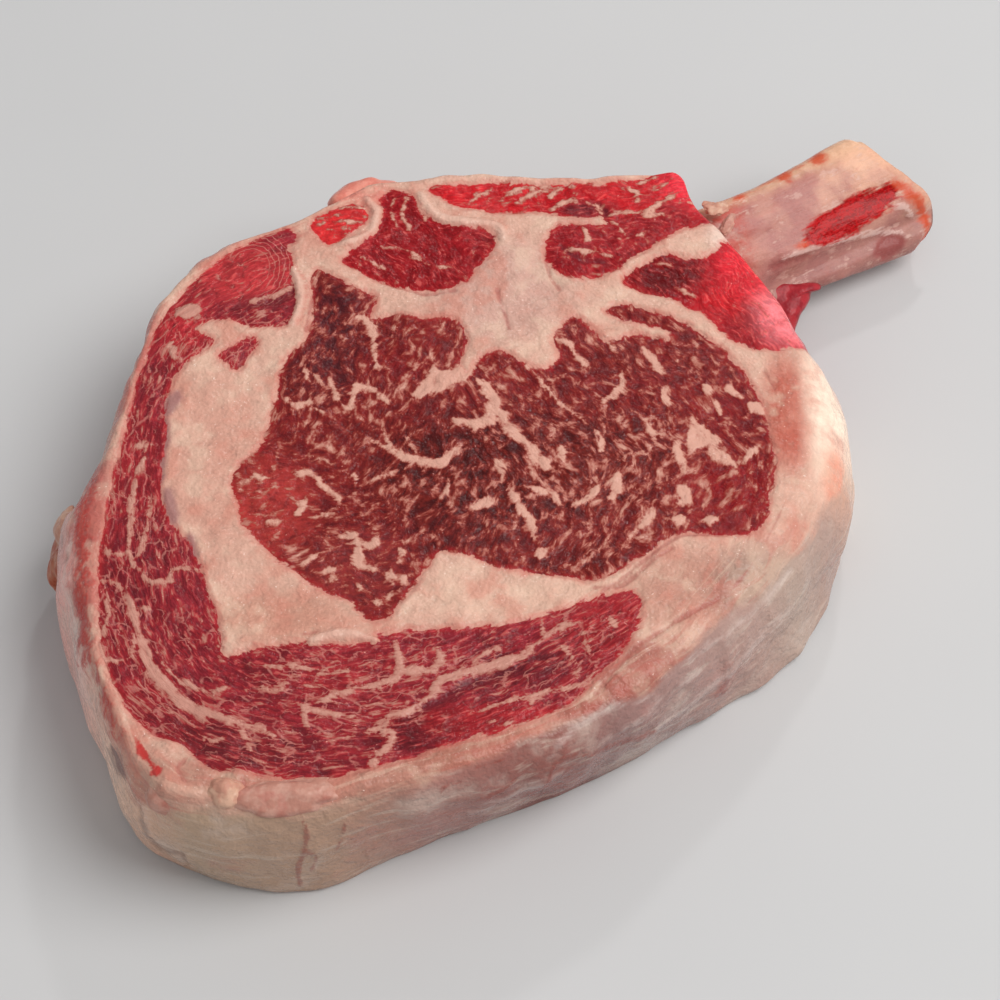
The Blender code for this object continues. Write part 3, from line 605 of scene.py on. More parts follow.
def reach(outline, angles):
    """How far an outline lies from the core, along each compass angle."""
    curve = closed_curve(outline, 12) - np.array(CORE)
    return np.interp(angles, np.arctan2(curve[:, 1], curve[:, 0]), np.hypot(*curve.T),
                     period=2 * math.pi)


def top_height(x, y):
    drop = THIN_SIDE_DROP * smooth_step((x + 25.0) / 100.0)
    swell = 0.35 * np.sin(x / 15.0 + 1.3) * np.cos(y / 19.0 + 0.4) + 0.2 * np.sin((x - y) / 9.0)
    return THICKNESS - 0.5 - drop + swell


def inside(loop, points):
    """Which of the points lie inside a closed loop."""
    odd = np.zeros(len(points), bool)
    x, y = points.T
    for (ax, ay), (bx, by) in zip(loop, np.roll(loop, -1, 0)):
        if ay != by:
            odd ^= ((ay > y) != (by > y)) & (ax + (y - ay) * (bx - ax) / (by - ay) > x)
    return odd


def off_line(points, line):
    """Each point's distance from a line of points, and how far along the line, 0 to 1."""
    best = np.full(len(points), np.inf)
    along = np.zeros(len(points))
    lengths = np.hypot(*np.diff(line, axis=0).T)
    ends = np.concatenate([[0], np.cumsum(lengths)])
    for a, b, start, length in zip(line, line[1:], ends, lengths):
        step = b - a
        share = np.clip(((points - a) @ step) / max(length * length, 1e-9), 0.0, 1.0)
        away = np.hypot(*(points - a - share[:, None] * step).T)
        nearer = away < best
        best[nearer] = away[nearer]
        along[nearer] = (start + share[nearer] * length) / ends[-1]
    return best, along


def depth_inside(points, outlines, far=8.0):
    """How deep each point lies inside the nearest of some outlines; negative outside."""
    depth = np.full(len(points), -far)
    for outline in outlines:
        loop = closed_curve(outline, 4)
        near = np.flatnonzero(((points > loop.min(0) - far) & (points < loop.max(0) + far)).all(1))
        away, _ = off_line(points[near], np.vstack([loop, loop[:1]]))
        here = np.where(inside(loop, points[near]), away, -away)
        depth[near] = np.maximum(depth[near], here)
    return depth


def stroke_depth(points, strokes, far=6.0):
    """How deep each point lies inside the nearest of some tapering strokes; negative outside."""
    depth = np.full(len(points), -far)
    for width, line in strokes:
        curve = open_curve(line)
        close = (points > curve.min(0) - far) & (points < curve.max(0) + far)
        near = np.flatnonzero(close.all(1))
        away, along = off_line(points[near], curve)
        half = 0.5 * width * (0.5 + 0.5 * np.sin(math.pi * along) ** 0.5)
        depth[near] = np.maximum(depth[near], half - away)
    return depth


def lattice(x, y, z, seed):
    """A steady random number, 0 to 1, for each cell of a lattice."""
    mixed = (x * 374761393 + y * 668265263 + z * 1442695041 + seed * 974634777) & 0x7FFFFFFF
    mixed = ((mixed ^ (mixed >> 13)) * 1274126177) & 0x7FFFFFFF
    return ((mixed ^ (mixed >> 16)) & 0xFFFF) / 65535.0


def noise(points, cell, seed):
    """Smooth noise of -1 to 1 at some points, with bumps of about the cell's size."""
    scaled = points / cell
    base = np.floor(scaled).astype(np.int64)
    part = scaled - base
    part = part * part * (3.0 - 2.0 * part)
    total = np.zeros(len(points))
    for corner in itertools.product((0, 1), repeat=3):
        weight = np.prod(np.where(corner, part, 1.0 - part), axis=1)
        total += weight * lattice(*(base + corner).T, seed)
    return 2.0 * total - 1.0


def toned(base, points, spots):
    """A colour for each point: the base one, drawn towards the tones of some places."""
    colour = np.array(base)
    for middle, half, tone, strength in spots:
        away = np.hypot(*((points - middle) / half).T)
        share = strength * (1.0 - smooth_step((away - 0.5) / 1.0))
        colour = colour + (linear(tone) - colour) * share[:, None]
    return colour


def new_piece(name, points, faces):
    """A smooth mesh object from points in millimetres."""
    data = bpy.data.meshes.new(name)
    data.from_pydata(placed(points).tolist(), [], faces)
    data.update()
    data.shade_smooth()
    obj = bpy.data.objects.new(name, data)
    bpy.context.collection.objects.link(obj)
    return obj


def move_points(data, points):
    data.vertices.foreach_set("co", placed(points).astype(np.float32).ravel())
    data.update()


def normals_of(data):
    values = np.empty(len(data.vertices) * 3)
    data.vertex_normals.foreach_get("vector", values)
    return values.reshape(-1, 3)


def keep(data, **fields):
    """Stores values, vectors or colours for the points of a mesh."""
    for name, values in fields.items():
        values = np.asarray(values, float)
        kind, key = "FLOAT", "value"
        if values.ndim == 2 and name.endswith("colour"):
            kind, key = "FLOAT_COLOR", "color"
            values = np.hstack([values, np.ones((len(values), 1))])
        elif values.ndim == 2:
            kind, key = "FLOAT_VECTOR", "vector"
        layer = data.attributes.new(name, kind, "POINT")
        layer.data.foreach_set(key, values.astype(np.float32).ravel())


def slab_rings():
    """The rings of the side, from the edge of the cut face down to the foot."""
    edge = even_loop(TOP_EDGE, RIM_POINTS)
    from_core = edge - np.array(CORE)
    angles = np.arctan2(from_core[:, 1], from_core[:, 0])
    heading = np.stack([np.cos(angles), np.sin(angles)], 1)
    inner = np.hypot(*from_core.T)
    wide, foot = reach(WIDEST, angles), reach(FOOT, angles)
    share = np.interp(np.degrees(angles), *zip(*WIDEST_HEIGHT), period=360)
    top = top_height(edge[:, 0], edge[:, 1])
    belly = share * top
    rings = []
    for turn in np.linspace(0.0, math.pi / 2, SHOULDER_RINGS):
        rings.append((inner + (wide - inner) * math.sin(turn),
                      belly + (top - belly) * math.cos(turn)))
    for down in np.linspace(0.0, 1.0, SIDE_RINGS)[1:]:
        rings.append((wide + (foot - wide) * down ** 1.5,
                      belly + (FOOT_ROUND - belly) * down))
    for turn in np.radians([35, 65, 90]):
        rings.append((foot - FOOT_ROUND * (1.0 - math.cos(turn)),
                      np.full_like(foot, FOOT_ROUND * (1.0 - math.sin(turn)))))
    return [np.column_stack([np.array(CORE) + heading * r[:, None], z]) for r, z in rings]


def fenced_grid(edge, spacing):
    """A loop of points filled with an even grid: the points, and the triangles between them."""
    fence = grown(edge, -0.6 * spacing)
    left, near = edge.min(0)
    right, far = edge.max(0)
    rows = [np.column_stack([xs, np.full_like(xs, y)])
            for row, y in enumerate(np.arange(near, far, 0.87 * spacing))
            for xs in [np.arange(left, right, spacing) + 0.5 * spacing * (row % 2)]]
    grid = np.vstack(rows)
    grid = grid[inside(fence, grid)]
    points = [Vector(p) for p in np.vstack([edge, grid]).tolist()]
    ring = [(i, (i + 1) % len(edge)) for i in range(len(edge))]
    points, _, faces, _, _, _ = delaunay_2d_cdt(points, ring, [], 1, 1e-5)
    return np.array([(p.x, p.y) for p in points]), faces


def slab_mesh():
    """The whole slab as points in millimetres and faces."""
    rings = slab_rings()
    count = RIM_POINTS
    flat, faces = fenced_grid(rings[0][:, :2], FACE_SPACING)
    points = [np.column_stack([flat, top_height(*flat.T)])]
    faces = [tuple(face) for face in faces]
    upper, start = np.arange(count), len(flat)
    after = np.roll(np.arange(count), -1)
    for ring in rings[1:]:
        points.append(ring)
        lower = start + np.arange(count)
        start += count
        faces += list(zip(upper[after], upper, lower, lower[after]))
        upper = lower
    low, low_faces = fenced_grid(rings[-1][:, :2], FOOT_SPACING)
    points.append(np.column_stack([low[count:], np.zeros(len(low) - count)]))
    number = np.concatenate([upper, start + np.arange(len(low) - count)])
    faces += [tuple(number[list(reversed(face))]) for face in low_faces]
    return np.vstack(points), [tuple(int(i) for i in face) for face in faces]


def crescent_grain(points):
    """Along and across the long crescent muscle, in millimetres."""
    line = open_curve(CRESCENT_MIDDLE, 8)
    away, along = off_line(points, line)
    length = np.hypot(*np.diff(line, axis=0).T).sum()
    return np.column_stack([along * length, away * np.where(inside(line, points), -1.0, 1.0)])


def turned(points, degrees):
    """Points along and across a heading."""
    x, y = points.T
    turn = math.radians(degrees)
    return np.column_stack([x * math.cos(turn) + y * math.sin(turn),
                            y * math.cos(turn) - x * math.sin(turn)])


def cloudy(points, size, seed):
    """Noise of about -1 to 1 with finer noise on it."""
    return (0.7 * noise(points, size, seed) + 0.35 * noise(points, size / 2, seed + 1)
            + 0.18 * noise(points, size / 4, seed + 2))


def mosaic(points, size, seed):
    """A loose mosaic: each point's distance to its cell's border, and the cell's own number."""
    scaled = points[:, :2] / size
    base = np.floor(scaled).astype(np.int64)
    near, far = np.full((2, len(points)), 9.0)
    number = np.zeros(len(points))
    for step in itertools.product((-1, 0, 1), repeat=2):
        x, y = (base + step).T
        middle = np.column_stack([x + lattice(x, y, 0, seed), y + lattice(x, y, 1, seed)])
        away = np.hypot(*(scaled - middle).T)
        far = np.where(away < near, near, np.minimum(far, away))
        number = np.where(away < near, lattice(x, y, 2, seed), number)
        near = np.minimum(near, away)
    return 0.5 * (far - near) * size, number


def grain_turns(points):
    """How much the grain runs along each of GRAIN_TURNS at each point."""
    spots = np.array(GRAIN_HEADINGS, float)
    away = ((points[:, None] - spots[None, :, :2]) ** 2).sum(2)
    weight = np.exp(-away / 180.0) + 1e-9
    double = np.radians(2.0 * spots[:, 2])
    heading = 0.5 * np.arctan2(weight @ np.sin(double), weight @ np.cos(double))
    share = np.cos(heading[:, None] - np.radians(GRAIN_TURNS)) ** 12
    return share / np.sqrt((share ** 2).sum(1))[:, None]


def muscle_fields(flat, upright, points):
    """What the muscles give each point: edges, marbling, grain and tone."""
    depths = np.stack([depth_inside(upright, [outline]) for outline in MUSCLES])
    which = depths.argmax(0)
    lean = np.maximum(depths.max(0), depth_inside(flat, outlined(LEAN_PATCHES)))
    lean = lean + 0.45 * noise(points, 4.6, 31) + 0.3 * noise(points, 2.1, 32)
    lips = stroke_depth(flat, traced(LIPS)) + 0.4 * noise(points, 3.0, 33)
    lean = np.where(lips > -0.5, np.minimum(lean, -lips - 0.7), lean)
    lines = traced(EYE_LINES + CRESCENT_LINES + SMALL_LINES)
    streaks = np.maximum(stroke_depth(flat, lines), depth_inside(flat, outlined(FAT_PATCHES)))
    streaks = streaks + 0.35 * noise(points, 2.6, 34) + np.where(which > 1, 0.08, -0.1)
    shift = np.column_stack([noise(points, 6.5, 35) + 0.4 * noise(points, 2.4, 36),
                             noise(points, 6.5, 37) + 0.4 * noise(points, 2.4, 38)])
    grain = crescent_grain(flat) + shift * (2.0, 0.8)
    bundles = np.where((which == 1)[:, None], grain * (0.3, 1.0), flat * 0.8)
    edge, number = mosaic(bundles + 0.8 * shift, 2.9, 37)
    level = np.zeros(len(flat))
    x, y = (flat - spot(*FOLD_MIDDLE)).T
    ring = np.hypot(x, y * math.sin(math.radians(CAMERA_RISE))) / PIXEL
    bearing = (np.degrees(np.arctan2(-y, x)) - FOLD_HEADING + 180.0) % 360.0 - 180.0
    ringed = (smooth_step((ring - FOLD_RADII[0]) / FOLD_SOFT[0])
              * smooth_step((FOLD_RADII[1] - ring) / FOLD_SOFT[1])
              * smooth_step((FOLD_TURN - np.abs(bearing)) / FOLD_SOFT[2]))
    return {"ring": ring, "ringed": ringed, "lean": lean, "streaks": streaks, "lips": lips,
            "eye": which == 0, "cap": which == 1, "web": np.array(WEB)[which],
            "grain": np.column_stack([grain, level]),
            "loose": np.column_stack([flat + 1.5 * shift, level]),
            "mosaic": np.column_stack([edge, number, level]),
            "turns": grain_turns(flat),
            "lean_colour": toned(linear(MUSCLE_TONES)[which], flat, LEAN_SPOTS)}


def side_fields(flat, upright, points, angles, seen, under):
    """What the side wall gives each point: how far into the skin, and its tone."""
    line = np.array([spot(*p) for p in SKIN_LINE])
    away, _ = off_line(flat, line)
    beyond = [(130, 0), (130, -170), (-140, -170), (-140, 10)]
    skin = np.where(inside(np.vstack([line, beyond]), flat), away, -away)
    drop = top_height(*points[:, :2].T) - points[:, 2]
    skin = np.where(seen & (flat[:, 1] < 12), skin, 0.8 * drop - 6.0)
    skin = np.where(under, -6.0, skin + 1.4 * cloudy(points, 9.0, 41))
    tones = np.array([linear(tone) for _, tone in WALL_TONES])
    headings = [heading for heading, _ in WALL_TONES]
    colour = np.stack([np.interp(angles, headings, tones[:, k], period=360) for k in range(3)], 1)
    inward = depth_inside(upright, [TOP_EDGE], 30.0)
    down = np.where(inward > 0, -inward, drop) + 1.3 * noise(points, 9.0, 42)
    around = ((angles + 250.0) % 360.0) * WALL_DEGREE + 2.5 * noise(points, 11.0, 43)
    return {"skin": skin, "wall_colour": colour,
            "rim": np.column_stack([around, down, np.zeros(len(drop))])}


def build_meat():
    """The slab of meat, with its relief and its fields."""
    points, faces = slab_mesh()
    meat = new_piece("meat", points, faces)
    normals = normals_of(meat.data)
    core, z = np.array(CORE), points[:, 2]
    eye = camera_place()
    seen = np.sum(normals * (eye - points), axis=1) > 0
    under = normals[:, 2] < -0.7
    share = 1.0 - (1.0 - FOOT_SHARE) * (THICKNESS - z) / THICKNESS
    upright = core + (points[:, :2] - core) / share[:, None]
    along_sight = eye + (points - eye) * ((THICKNESS - eye[2]) / (z - eye[2]))[:, None]
    flat = np.where(seen[:, None], along_sight[:, :2], upright)
    angles = np.degrees(np.arctan2(*(points[:, :2] - core).T[::-1])) % 360

    fields = muscle_fields(flat, upright, points)
    fields.update(side_fields(flat, upright, points, angles, seen, under))
    ragged = 0.3 * noise(points, 2.4, 51) + 0.2 * noise(points, 1.1, 52)
    for name, strokes in (("folds", FOLDS), ("creases", CREASES), ("thin", THIN_FAT)):
        fields[name] = stroke_depth(flat, traced(strokes)) + ragged
    for name, strokes in (("veins", VEINS), ("marks", PALE_MARKS), ("blood", BLOOD),
                          ("bruises", BRUISES), ("flushes", FLUSHES)):
        fields[name] = np.where(seen, stroke_depth(flat, traced(strokes)), -6.0) + ragged
    base = np.broadcast_to(linear(FAT_TONE), (len(points), 3))
    fields["fat_colour"] = toned(base, flat, FAT_SPOTS)
    fields["soft"] = np.column_stack([cloudy(points, size, seed)
                                      for size, seed in ((9.0, 61), (5.0, 64), (14.0, 67))])

    lean, streaks = fields["lean"], fields["streaks"]
    lobes = smooth_step(fields["mosaic"][:, 0] / 0.9)
    on_face = smooth_step((normals[:, 2] - 0.6) / 0.3)
    wall = 1.0 - smooth_step((np.abs(normals[:, 2]) - 0.3) / 0.5)
    fields["lean_colour"] *= (1.0 - 0.45 * wall * ~seen)[:, None]
    relief = on_face * (0.40 * smooth_step(-lean / 0.9) - 0.2)
    marbled = smooth_step((streaks + 0.4) / 0.8)
    relief += on_face * smooth_step(lean) * (0.22 * lobes + 0.20 * marbled)
    relief -= on_face * 0.6 * smooth_step((fields["folds"] + 0.9) / 1.6) * (lean > 0)
    relief -= 0.4 * smooth_step((fields["creases"] + 0.5) / 0.8)
    relief += 0.7 * smooth_step((fields["lips"] + 0.7) / 1.4)
    relief += 0.42 * noise(points, 9.0, 1) + 0.30 * noise(points, 4.2, 2)
    relief += on_face * 0.11 * noise(points, 1.9, 3)
    stretched = np.column_stack([angles * WALL_DEGREE, z * 0.3, np.zeros(len(z))])
    relief += wall * (0.5 * noise(stretched, 9.0, 4) + 0.25 * noise(stretched, 3.5, 5))
    relief += wall * 0.25 * smooth_step((fields["veins"] + 0.6) / 0.9)
    relief += wall * 0.4 * smooth_step((fields["marks"] + 0.6) / 0.9)
    for x, y, half, rise in MOUNDS:
        away = np.hypot(*(flat - spot(x, y)).T) / half
        relief += rise * (1.0 - smooth_step(away)) * (1.0 + 0.5 * noise(points, 3.0, 6)) * seen
    relief *= np.where(under, 0.15, 1.0) * smooth_step(z / 1.5)
    move_points(meat.data, points + normals * relief[:, None])
    keep(meat.data, **fields)
    return meat


class Value:
    """A node's output, which sums and products take like a number."""

    def __init__(self, shader, socket):
        self.shader, self.socket = shader, socket

    def __add__(self, other):
        return self.shader.math("ADD", self, other)

    def __sub__(self, other):
        return self.shader.math("SUBTRACT", self, other)

    def __rsub__(self, other):
        return self.shader.math("SUBTRACT", other, self)

    def __mul__(self, other):
        return self.shader.math("MULTIPLY", self, other)

    __radd__, __rmul__ = __add__, __mul__


class Shader:
    """A material's nodes, built from expressions."""

    def __init__(self, name):
        self.material = bpy.data.materials.new(name)
        self.material.use_nodes = True
        self.tree = self.material.node_tree
        self.surface = self.tree.nodes["Principled BSDF"]
        self.where = self.vector("SCALE", self.out(self.add("TexCoord"), "Object"), 1000.0)

    def add(self, kind, **inputs):
        """A node with its inputs set or linked; an underscore stands for a space."""
        node = self.tree.nodes.new("ShaderNode" + kind)
        for key, value in inputs.items():
            self.feed(node.inputs[key.replace("_", " ")], value)
        return node

    def out(self, node, key=0):
        return Value(self, node.outputs[key])

    def feed(self, socket, value):
        if isinstance(value, Value):
            self.tree.links.new(value.socket, socket)
        elif socket.type == "RGBA":
            socket.default_value = (*value[:3], 1.0)
        else:
            socket.default_value = value

    def math(self, operation, *values):
        node = self.add("Math")
        node.operation = operation
        for socket, value in zip(node.inputs, values):
            self.feed(socket, value)
        return self.out(node)

    def vector(self, operation, first, second):
        node = self.add("VectorMath")
        node.operation = operation
        self.feed(node.inputs[0], first)
        self.feed(node.inputs["Scale" if operation == "SCALE" else 1], second)
        return self.out(node)

    def split(self, vector):
        node = self.add("SeparateXYZ", Vector=vector)
        return [self.out(node, index) for index in range(3)]

    def most(self, first, second):
        return self.math("MAXIMUM", first, second)

    def blend(self, share, first, second):
        """From the first value to the second, by a share."""
        return first + share * (second - first)

    def ramp(self, value, low, high, start=0.0, end=1.0):
        """A smooth rise from start to end while the value goes from low to high."""
        node = self.add("MapRange")
        node.interpolation_type = "SMOOTHSTEP"
        for key, item in (("Value", value), ("From Min", low), ("From Max", high),
                          ("To Min", start), ("To Max", end)):
            self.feed(node.inputs[key], item)
        return self.out(node)

    def noise(self, size, detail=2.0, rough=0.5, where=None, stretch=None, dimensions="3D"):
        """Noise of -0.5 to 0.5 with features of a size in millimetres."""
        where = self.where if where is None else where
        if stretch is not None:
            where = self.vector("MULTIPLY", where, stretch)
        node = self.add("TexNoise", Scale=1.0 / size, Detail=detail, Roughness=rough)
        node.noise_dimensions = dimensions
        self.feed(node.inputs["Vector"], where)
        return self.out(node, "Fac") - 0.5

    def drawn(self, degrees, stretch, where=None):
        """Places turned to a heading, and drawn out along it."""
        node = self.add("Mapping", Rotation=(0.0, 0.0, math.radians(degrees)),
                        Scale=(1.0 / stretch, 1.0, 1.0))
        node.vector_type = "TEXTURE"
        self.feed(node.inputs["Vector"], self.where if where is None else where)
        return self.out(node)

    def border(self, where, size):
        """How far each point is from the border of its cell, in millimetres."""
        node = self.add("TexVoronoi", Scale=1.0 / size)
        node.voronoi_dimensions, node.feature = "2D", "DISTANCE_TO_EDGE"
        self.feed(node.inputs["Vector"], where)
        return size * self.out(node, "Distance")

    def stored(self, name, output="Fac"):
        node = self.add("Attribute")
        node.attribute_name = name
        return self.out(node, output)

    def mix(self, share, first, second):
        node = self.add("Mix")
        node.data_type = "RGBA"
        for index, value in ((0, share), (6, first), (7, second)):
            self.feed(node.inputs[index], value)
        return self.out(node, 2)

    def tint(self, share, colour, tone):
        """A colour drawn towards a tone of 0 to 255."""
        return self.mix(share, colour, linear(tone))

    def brighten(self, colour, factor):
        return self.vector("SCALE", colour, factor)

    def finish(self, colour, rough, height, **values):
        """Sets the surface; the height is in millimetres."""
        bump = self.add("Bump", Height=height, Distance=MM)
        inputs = {"Base Color": colour, "Roughness": rough, "Normal": self.out(bump), "IOR": 1.4,
                  "Specular IOR Level": 0.4}
        inputs.update((key.replace("_", " "), value) for key, value in values.items())
        for key, value in inputs.items():
            self.feed(self.surface.inputs[key], value)
        return self.material


def steak_material():
    sh = Shader("steak")
    is_eye, is_cap, web = sh.stored("eye"), sh.stored("cap"), sh.stored("web")
    crowd, pool, patch = sh.split(sh.stored("soft", "Vector"))
    edge, number, _ = sh.split(sh.stored("mosaic", "Vector"))
    speck, mottle = sh.noise(0.7, 2.0, 0.6), sh.noise(2.4, 2.0, 0.6)

    # The grain: noise drawn out along three headings, or along the crescent
    weights = sh.split(sh.stored("turns", "Vector"))
    loose = sh.stored("loose", "Vector")
    whorls, fibres = (
        sum(weight * sh.noise(size, detail, rough, sh.drawn(turn, stretch, loose), None, "2D")
            for weight, turn in zip(weights, GRAIN_TURNS))
        for size, detail, rough, stretch in ((2.1, 2.8, 0.64, 0.62), (0.75, 1.5, 0.6, 0.3)))
    grain = sh.stored("grain", "Vector")
    fibres = sh.blend(is_cap, fibres, sh.noise(0.75, 1.5, 0.6, grain, (0.26, 1.0, 1.0), "2D"))
    bundles = sh.noise(1.3, 2.6, 0.66, grain, (0.27, 1.0, 1.0), "2D")
    grained = sh.blend(is_cap, whorls, bundles)

    # Marbling: where the grain rises over a level that falls near the traced streaks
    lean_depth = sh.stored("lean") + 2.6 * grained + 0.7 * speck
    lean = sh.ramp(lean_depth, -0.2, 0.24)
    streak_depth = sh.stored("streaks") + 2.0 * mottle + 0.9 * speck
    level = 0.24 - 0.165 * is_eye - 0.07 * web - 0.09 * crowd
    level = level + sh.ramp(streak_depth, -0.7, 0.9, 0.0, -0.48)
    over = grained + 0.12 * fibres - level
    marbling = sh.ramp(over, -0.06, 0.09)
    swayed = sh.vector("ADD", grain, sh.vector("SCALE", (5.0, 3.0, 0.0), mottle))
    netted = sh.border(sh.vector("MULTIPLY", swayed, (0.3, 1.0, 1.0)), 1.9)
    ringed = sh.stored("ringed")
    net = 0.5 * sh.ramp(netted, 0.2, 0.03) * sh.ramp(crowd + 4.0 * mottle, -0.4, 0.6)
    net = net * (1.0 - ringed) * is_cap
    rings = sh.math("ABSOLUTE", sh.math("SINE", 0.62 * sh.stored("ring") + 3.6 * mottle))
    rings = sh.ramp(rings, 0.5, 0.08) * ringed * sh.ramp(mottle, -0.22, 0.0, 0.35, 1.0)
    net = sh.most(net, 0.55 * rings)
    halo = sh.most(sh.ramp(over, -0.26, 0.0), net)

    # Lean: fibres, lobes, darker pools, the brown that borders the marbling, painted shade in the
    # crevices and folds, and painted glints
    shade = sh.most(0.74, 0.91 + grained + fibres * sh.blend(is_eye, 1.3, 0.9) + 0.26 * pool
                    + 0.2 * number + 0.3 * speck)
    meat = sh.brighten(sh.stored("lean_colour", "Color"), shade)
    warm = sh.mix(is_eye, linear((170, 40, 42)), linear((150, 46, 36)))
    meat = sh.mix(0.45 * halo, meat, warm)
    pale_fibres = sh.ramp(fibres + 0.5 * grained, 0.1, 0.26) * (1.0 - is_eye)
    meat = sh.tint(0.3 * pale_fibres, meat, (236, 120, 112))
    # Darker in the crevices between the lobes, which the relief sinks: painted shade
    crevice_shade = sh.ramp(edge + 1.2 * speck, 0.42, 0.05)
    meat = sh.tint(0.4 * crevice_shade * sh.ramp(mottle, -0.05, 0.12) * (is_eye + is_cap), meat,
                   (74, 18, 22))
    # Darker in the sunken folds: painted shade
    folds = sh.ramp(sh.stored("folds") + 1.2 * mottle, -0.9, 0.7)
    meat = sh.tint(0.55 * folds, meat, (82, 30, 38))
    meat = sh.tint(0.45 * sh.ramp(lean_depth, 1.5, 0.1) * sh.ramp(mottle, -0.2, 0.1), meat,
                   (184, 34, 40))
    marble = sh.mix(sh.ramp(over, -0.04, 0.34), linear((164, 80, 68)), linear((214, 160, 142)))
    marble = sh.tint(0.5 * is_cap, marble, (184, 120, 108))
    inner = sh.mix(marbling, sh.tint(net, meat, (212, 138, 126)), marble)
    # Pale specks on the lean and the marbling: painted glints
    inner = sh.tint(sh.ramp(speck + 0.3 * grained, 0.21, 0.3, 0.0, 0.7), inner, (232, 168, 156))

    # Fat: pink and cream blotches, scratches along the grain, creases darkened partly as painted
    # shade, painted glints, and thin places
    fat = sh.brighten(sh.stored("fat_colour", "Color"), 1.02 + 0.24 * speck + 0.36 * mottle
                      + 0.2 * fibres)
    fat = sh.tint(sh.ramp(pool + mottle, 0.0, 0.7, 0.0, 0.55), fat, (204, 132, 114))
    fat = sh.tint(sh.ramp(pool + mottle, 0.0, -0.7, 0.0, 0.4), fat, (232, 200, 176))
    # Near-white specks on the fat: painted glints
    fat = sh.tint(sh.ramp(speck, 0.17, 0.28, 0.0, 0.7), fat, (255, 234, 220))
    rim = sh.stored("rim", "Vector")
    bands = sh.noise(1.6, 3.0, 0.6, rim, (0.07, 1.0, 1.0), "2D")
    around, depth, _ = sh.split(rim)
    on_rim = sh.ramp(depth, -7.0, -2.0) * sh.ramp(around, 372.0, 345.0, 0.2, 1.0)
    fat = sh.tint(0.4 * on_rim * sh.ramp(bands, 0.02, 0.18), fat, (190, 104, 92))
    fat = sh.tint(0.35 * on_rim * sh.ramp(bands, -0.02, -0.18), fat, (228, 192, 170))
    fat = sh.tint(sh.ramp(lean_depth, -1.5, -0.1, 0.0, 0.5), fat, (200, 112, 100))
    thin = sh.ramp(sh.stored("thin") + 2.0 * mottle, -1.2, 0.9)
    fat = sh.tint(0.75 * thin, fat, (152, 106, 106))
    # A darker pink along the sunken creases: partly the fat's own tone, partly painted shade
    crease_shade = sh.ramp(sh.stored("creases") + 0.6 * speck, -0.5, 0.2)
    fat = sh.tint(0.55 * crease_shade, fat, (164, 84, 76))
    lips = sh.ramp(sh.stored("lips"), -0.6, 0.7)
    fat = sh.tint(0.5 * lips, fat, (230, 190, 172))

    # Skin of the side: silvery, streaked along the wall, with veins, pale folds that are partly
    # painted highlight, and creases darkened as painted shade
    strands = sh.noise(2.4, 3.0, 0.6, rim, (0.16, 1.0, 1.0), "2D")
    skin = sh.brighten(sh.stored("wall_colour", "Color"), 0.98 + 0.18 * strands + 0.2 * mottle
                       + 0.08 * patch + 0.05 * speck)
    skin = sh.tint(sh.ramp(patch + mottle, 0.1, 0.8, 0.0, 0.45), skin, (170, 104, 96))
    skin = sh.tint(sh.ramp(strands + 0.12 * pool, 0.08, 0.22, 0.0, 0.3), skin, (214, 196, 180))
    skin = sh.tint(sh.ramp(patch + 0.8 * mottle, -0.1, -0.8, 0.0, 0.5), skin, (222, 200, 186))
    # Paler along the raised folds: partly pale membrane, partly painted highlight
    marks = sh.ramp(sh.stored("marks") + 3.0 * strands + 0.8 * speck, -0.8, 0.6)
    skin = sh.tint(0.3 * marks, skin, (226, 208, 200))
    veins = sh.ramp(sh.stored("veins") + 0.9 * speck, -0.35, 0.3)
    skin = sh.tint(0.6 * veins, skin, (146, 70, 60))
    bruises = sh.ramp(sh.stored("bruises") + 3.0 * strands, -0.8, 0.9)
    skin = sh.tint(0.75 * bruises, skin, (96, 50, 58))
    # The creases darker on the skin too: painted shade
    skin = sh.tint(0.5 * crease_shade, skin, (120, 84, 74))
    skin_depth = sh.stored("skin") + 4.0 * strands + speck
    skinned = sh.ramp(skin_depth, -1.3, 1.3)
    outer = sh.mix(skinned, fat, skin)

    colour = sh.mix(lean, outer, inner)
    flushes = sh.ramp(sh.stored("flushes") + 6.0 * mottle + 2.0 * speck, -1.0, 1.0)
    colour = sh.tint(0.8 * flushes, colour, (186, 58, 52))
    blood = sh.ramp(sh.stored("blood") + speck + 0.8 * mottle, -0.4, 0.3)
    colour = sh.tint(0.85 * blood, colour, (188, 22, 30))

    on_lean = sh.ramp(sh.stored("lean"), -0.3, 0.3)
    height = grained * sh.blend(on_lean, 0.06, 0.34) + mottle * sh.blend(on_lean, 0.7, 0.4)
    height = height + 0.14 * speck
    rough = 0.22 + 0.4 * mottle + 0.2 * speck
    return sh.finish(colour, rough, height, Specular_IOR_Level=0.26)


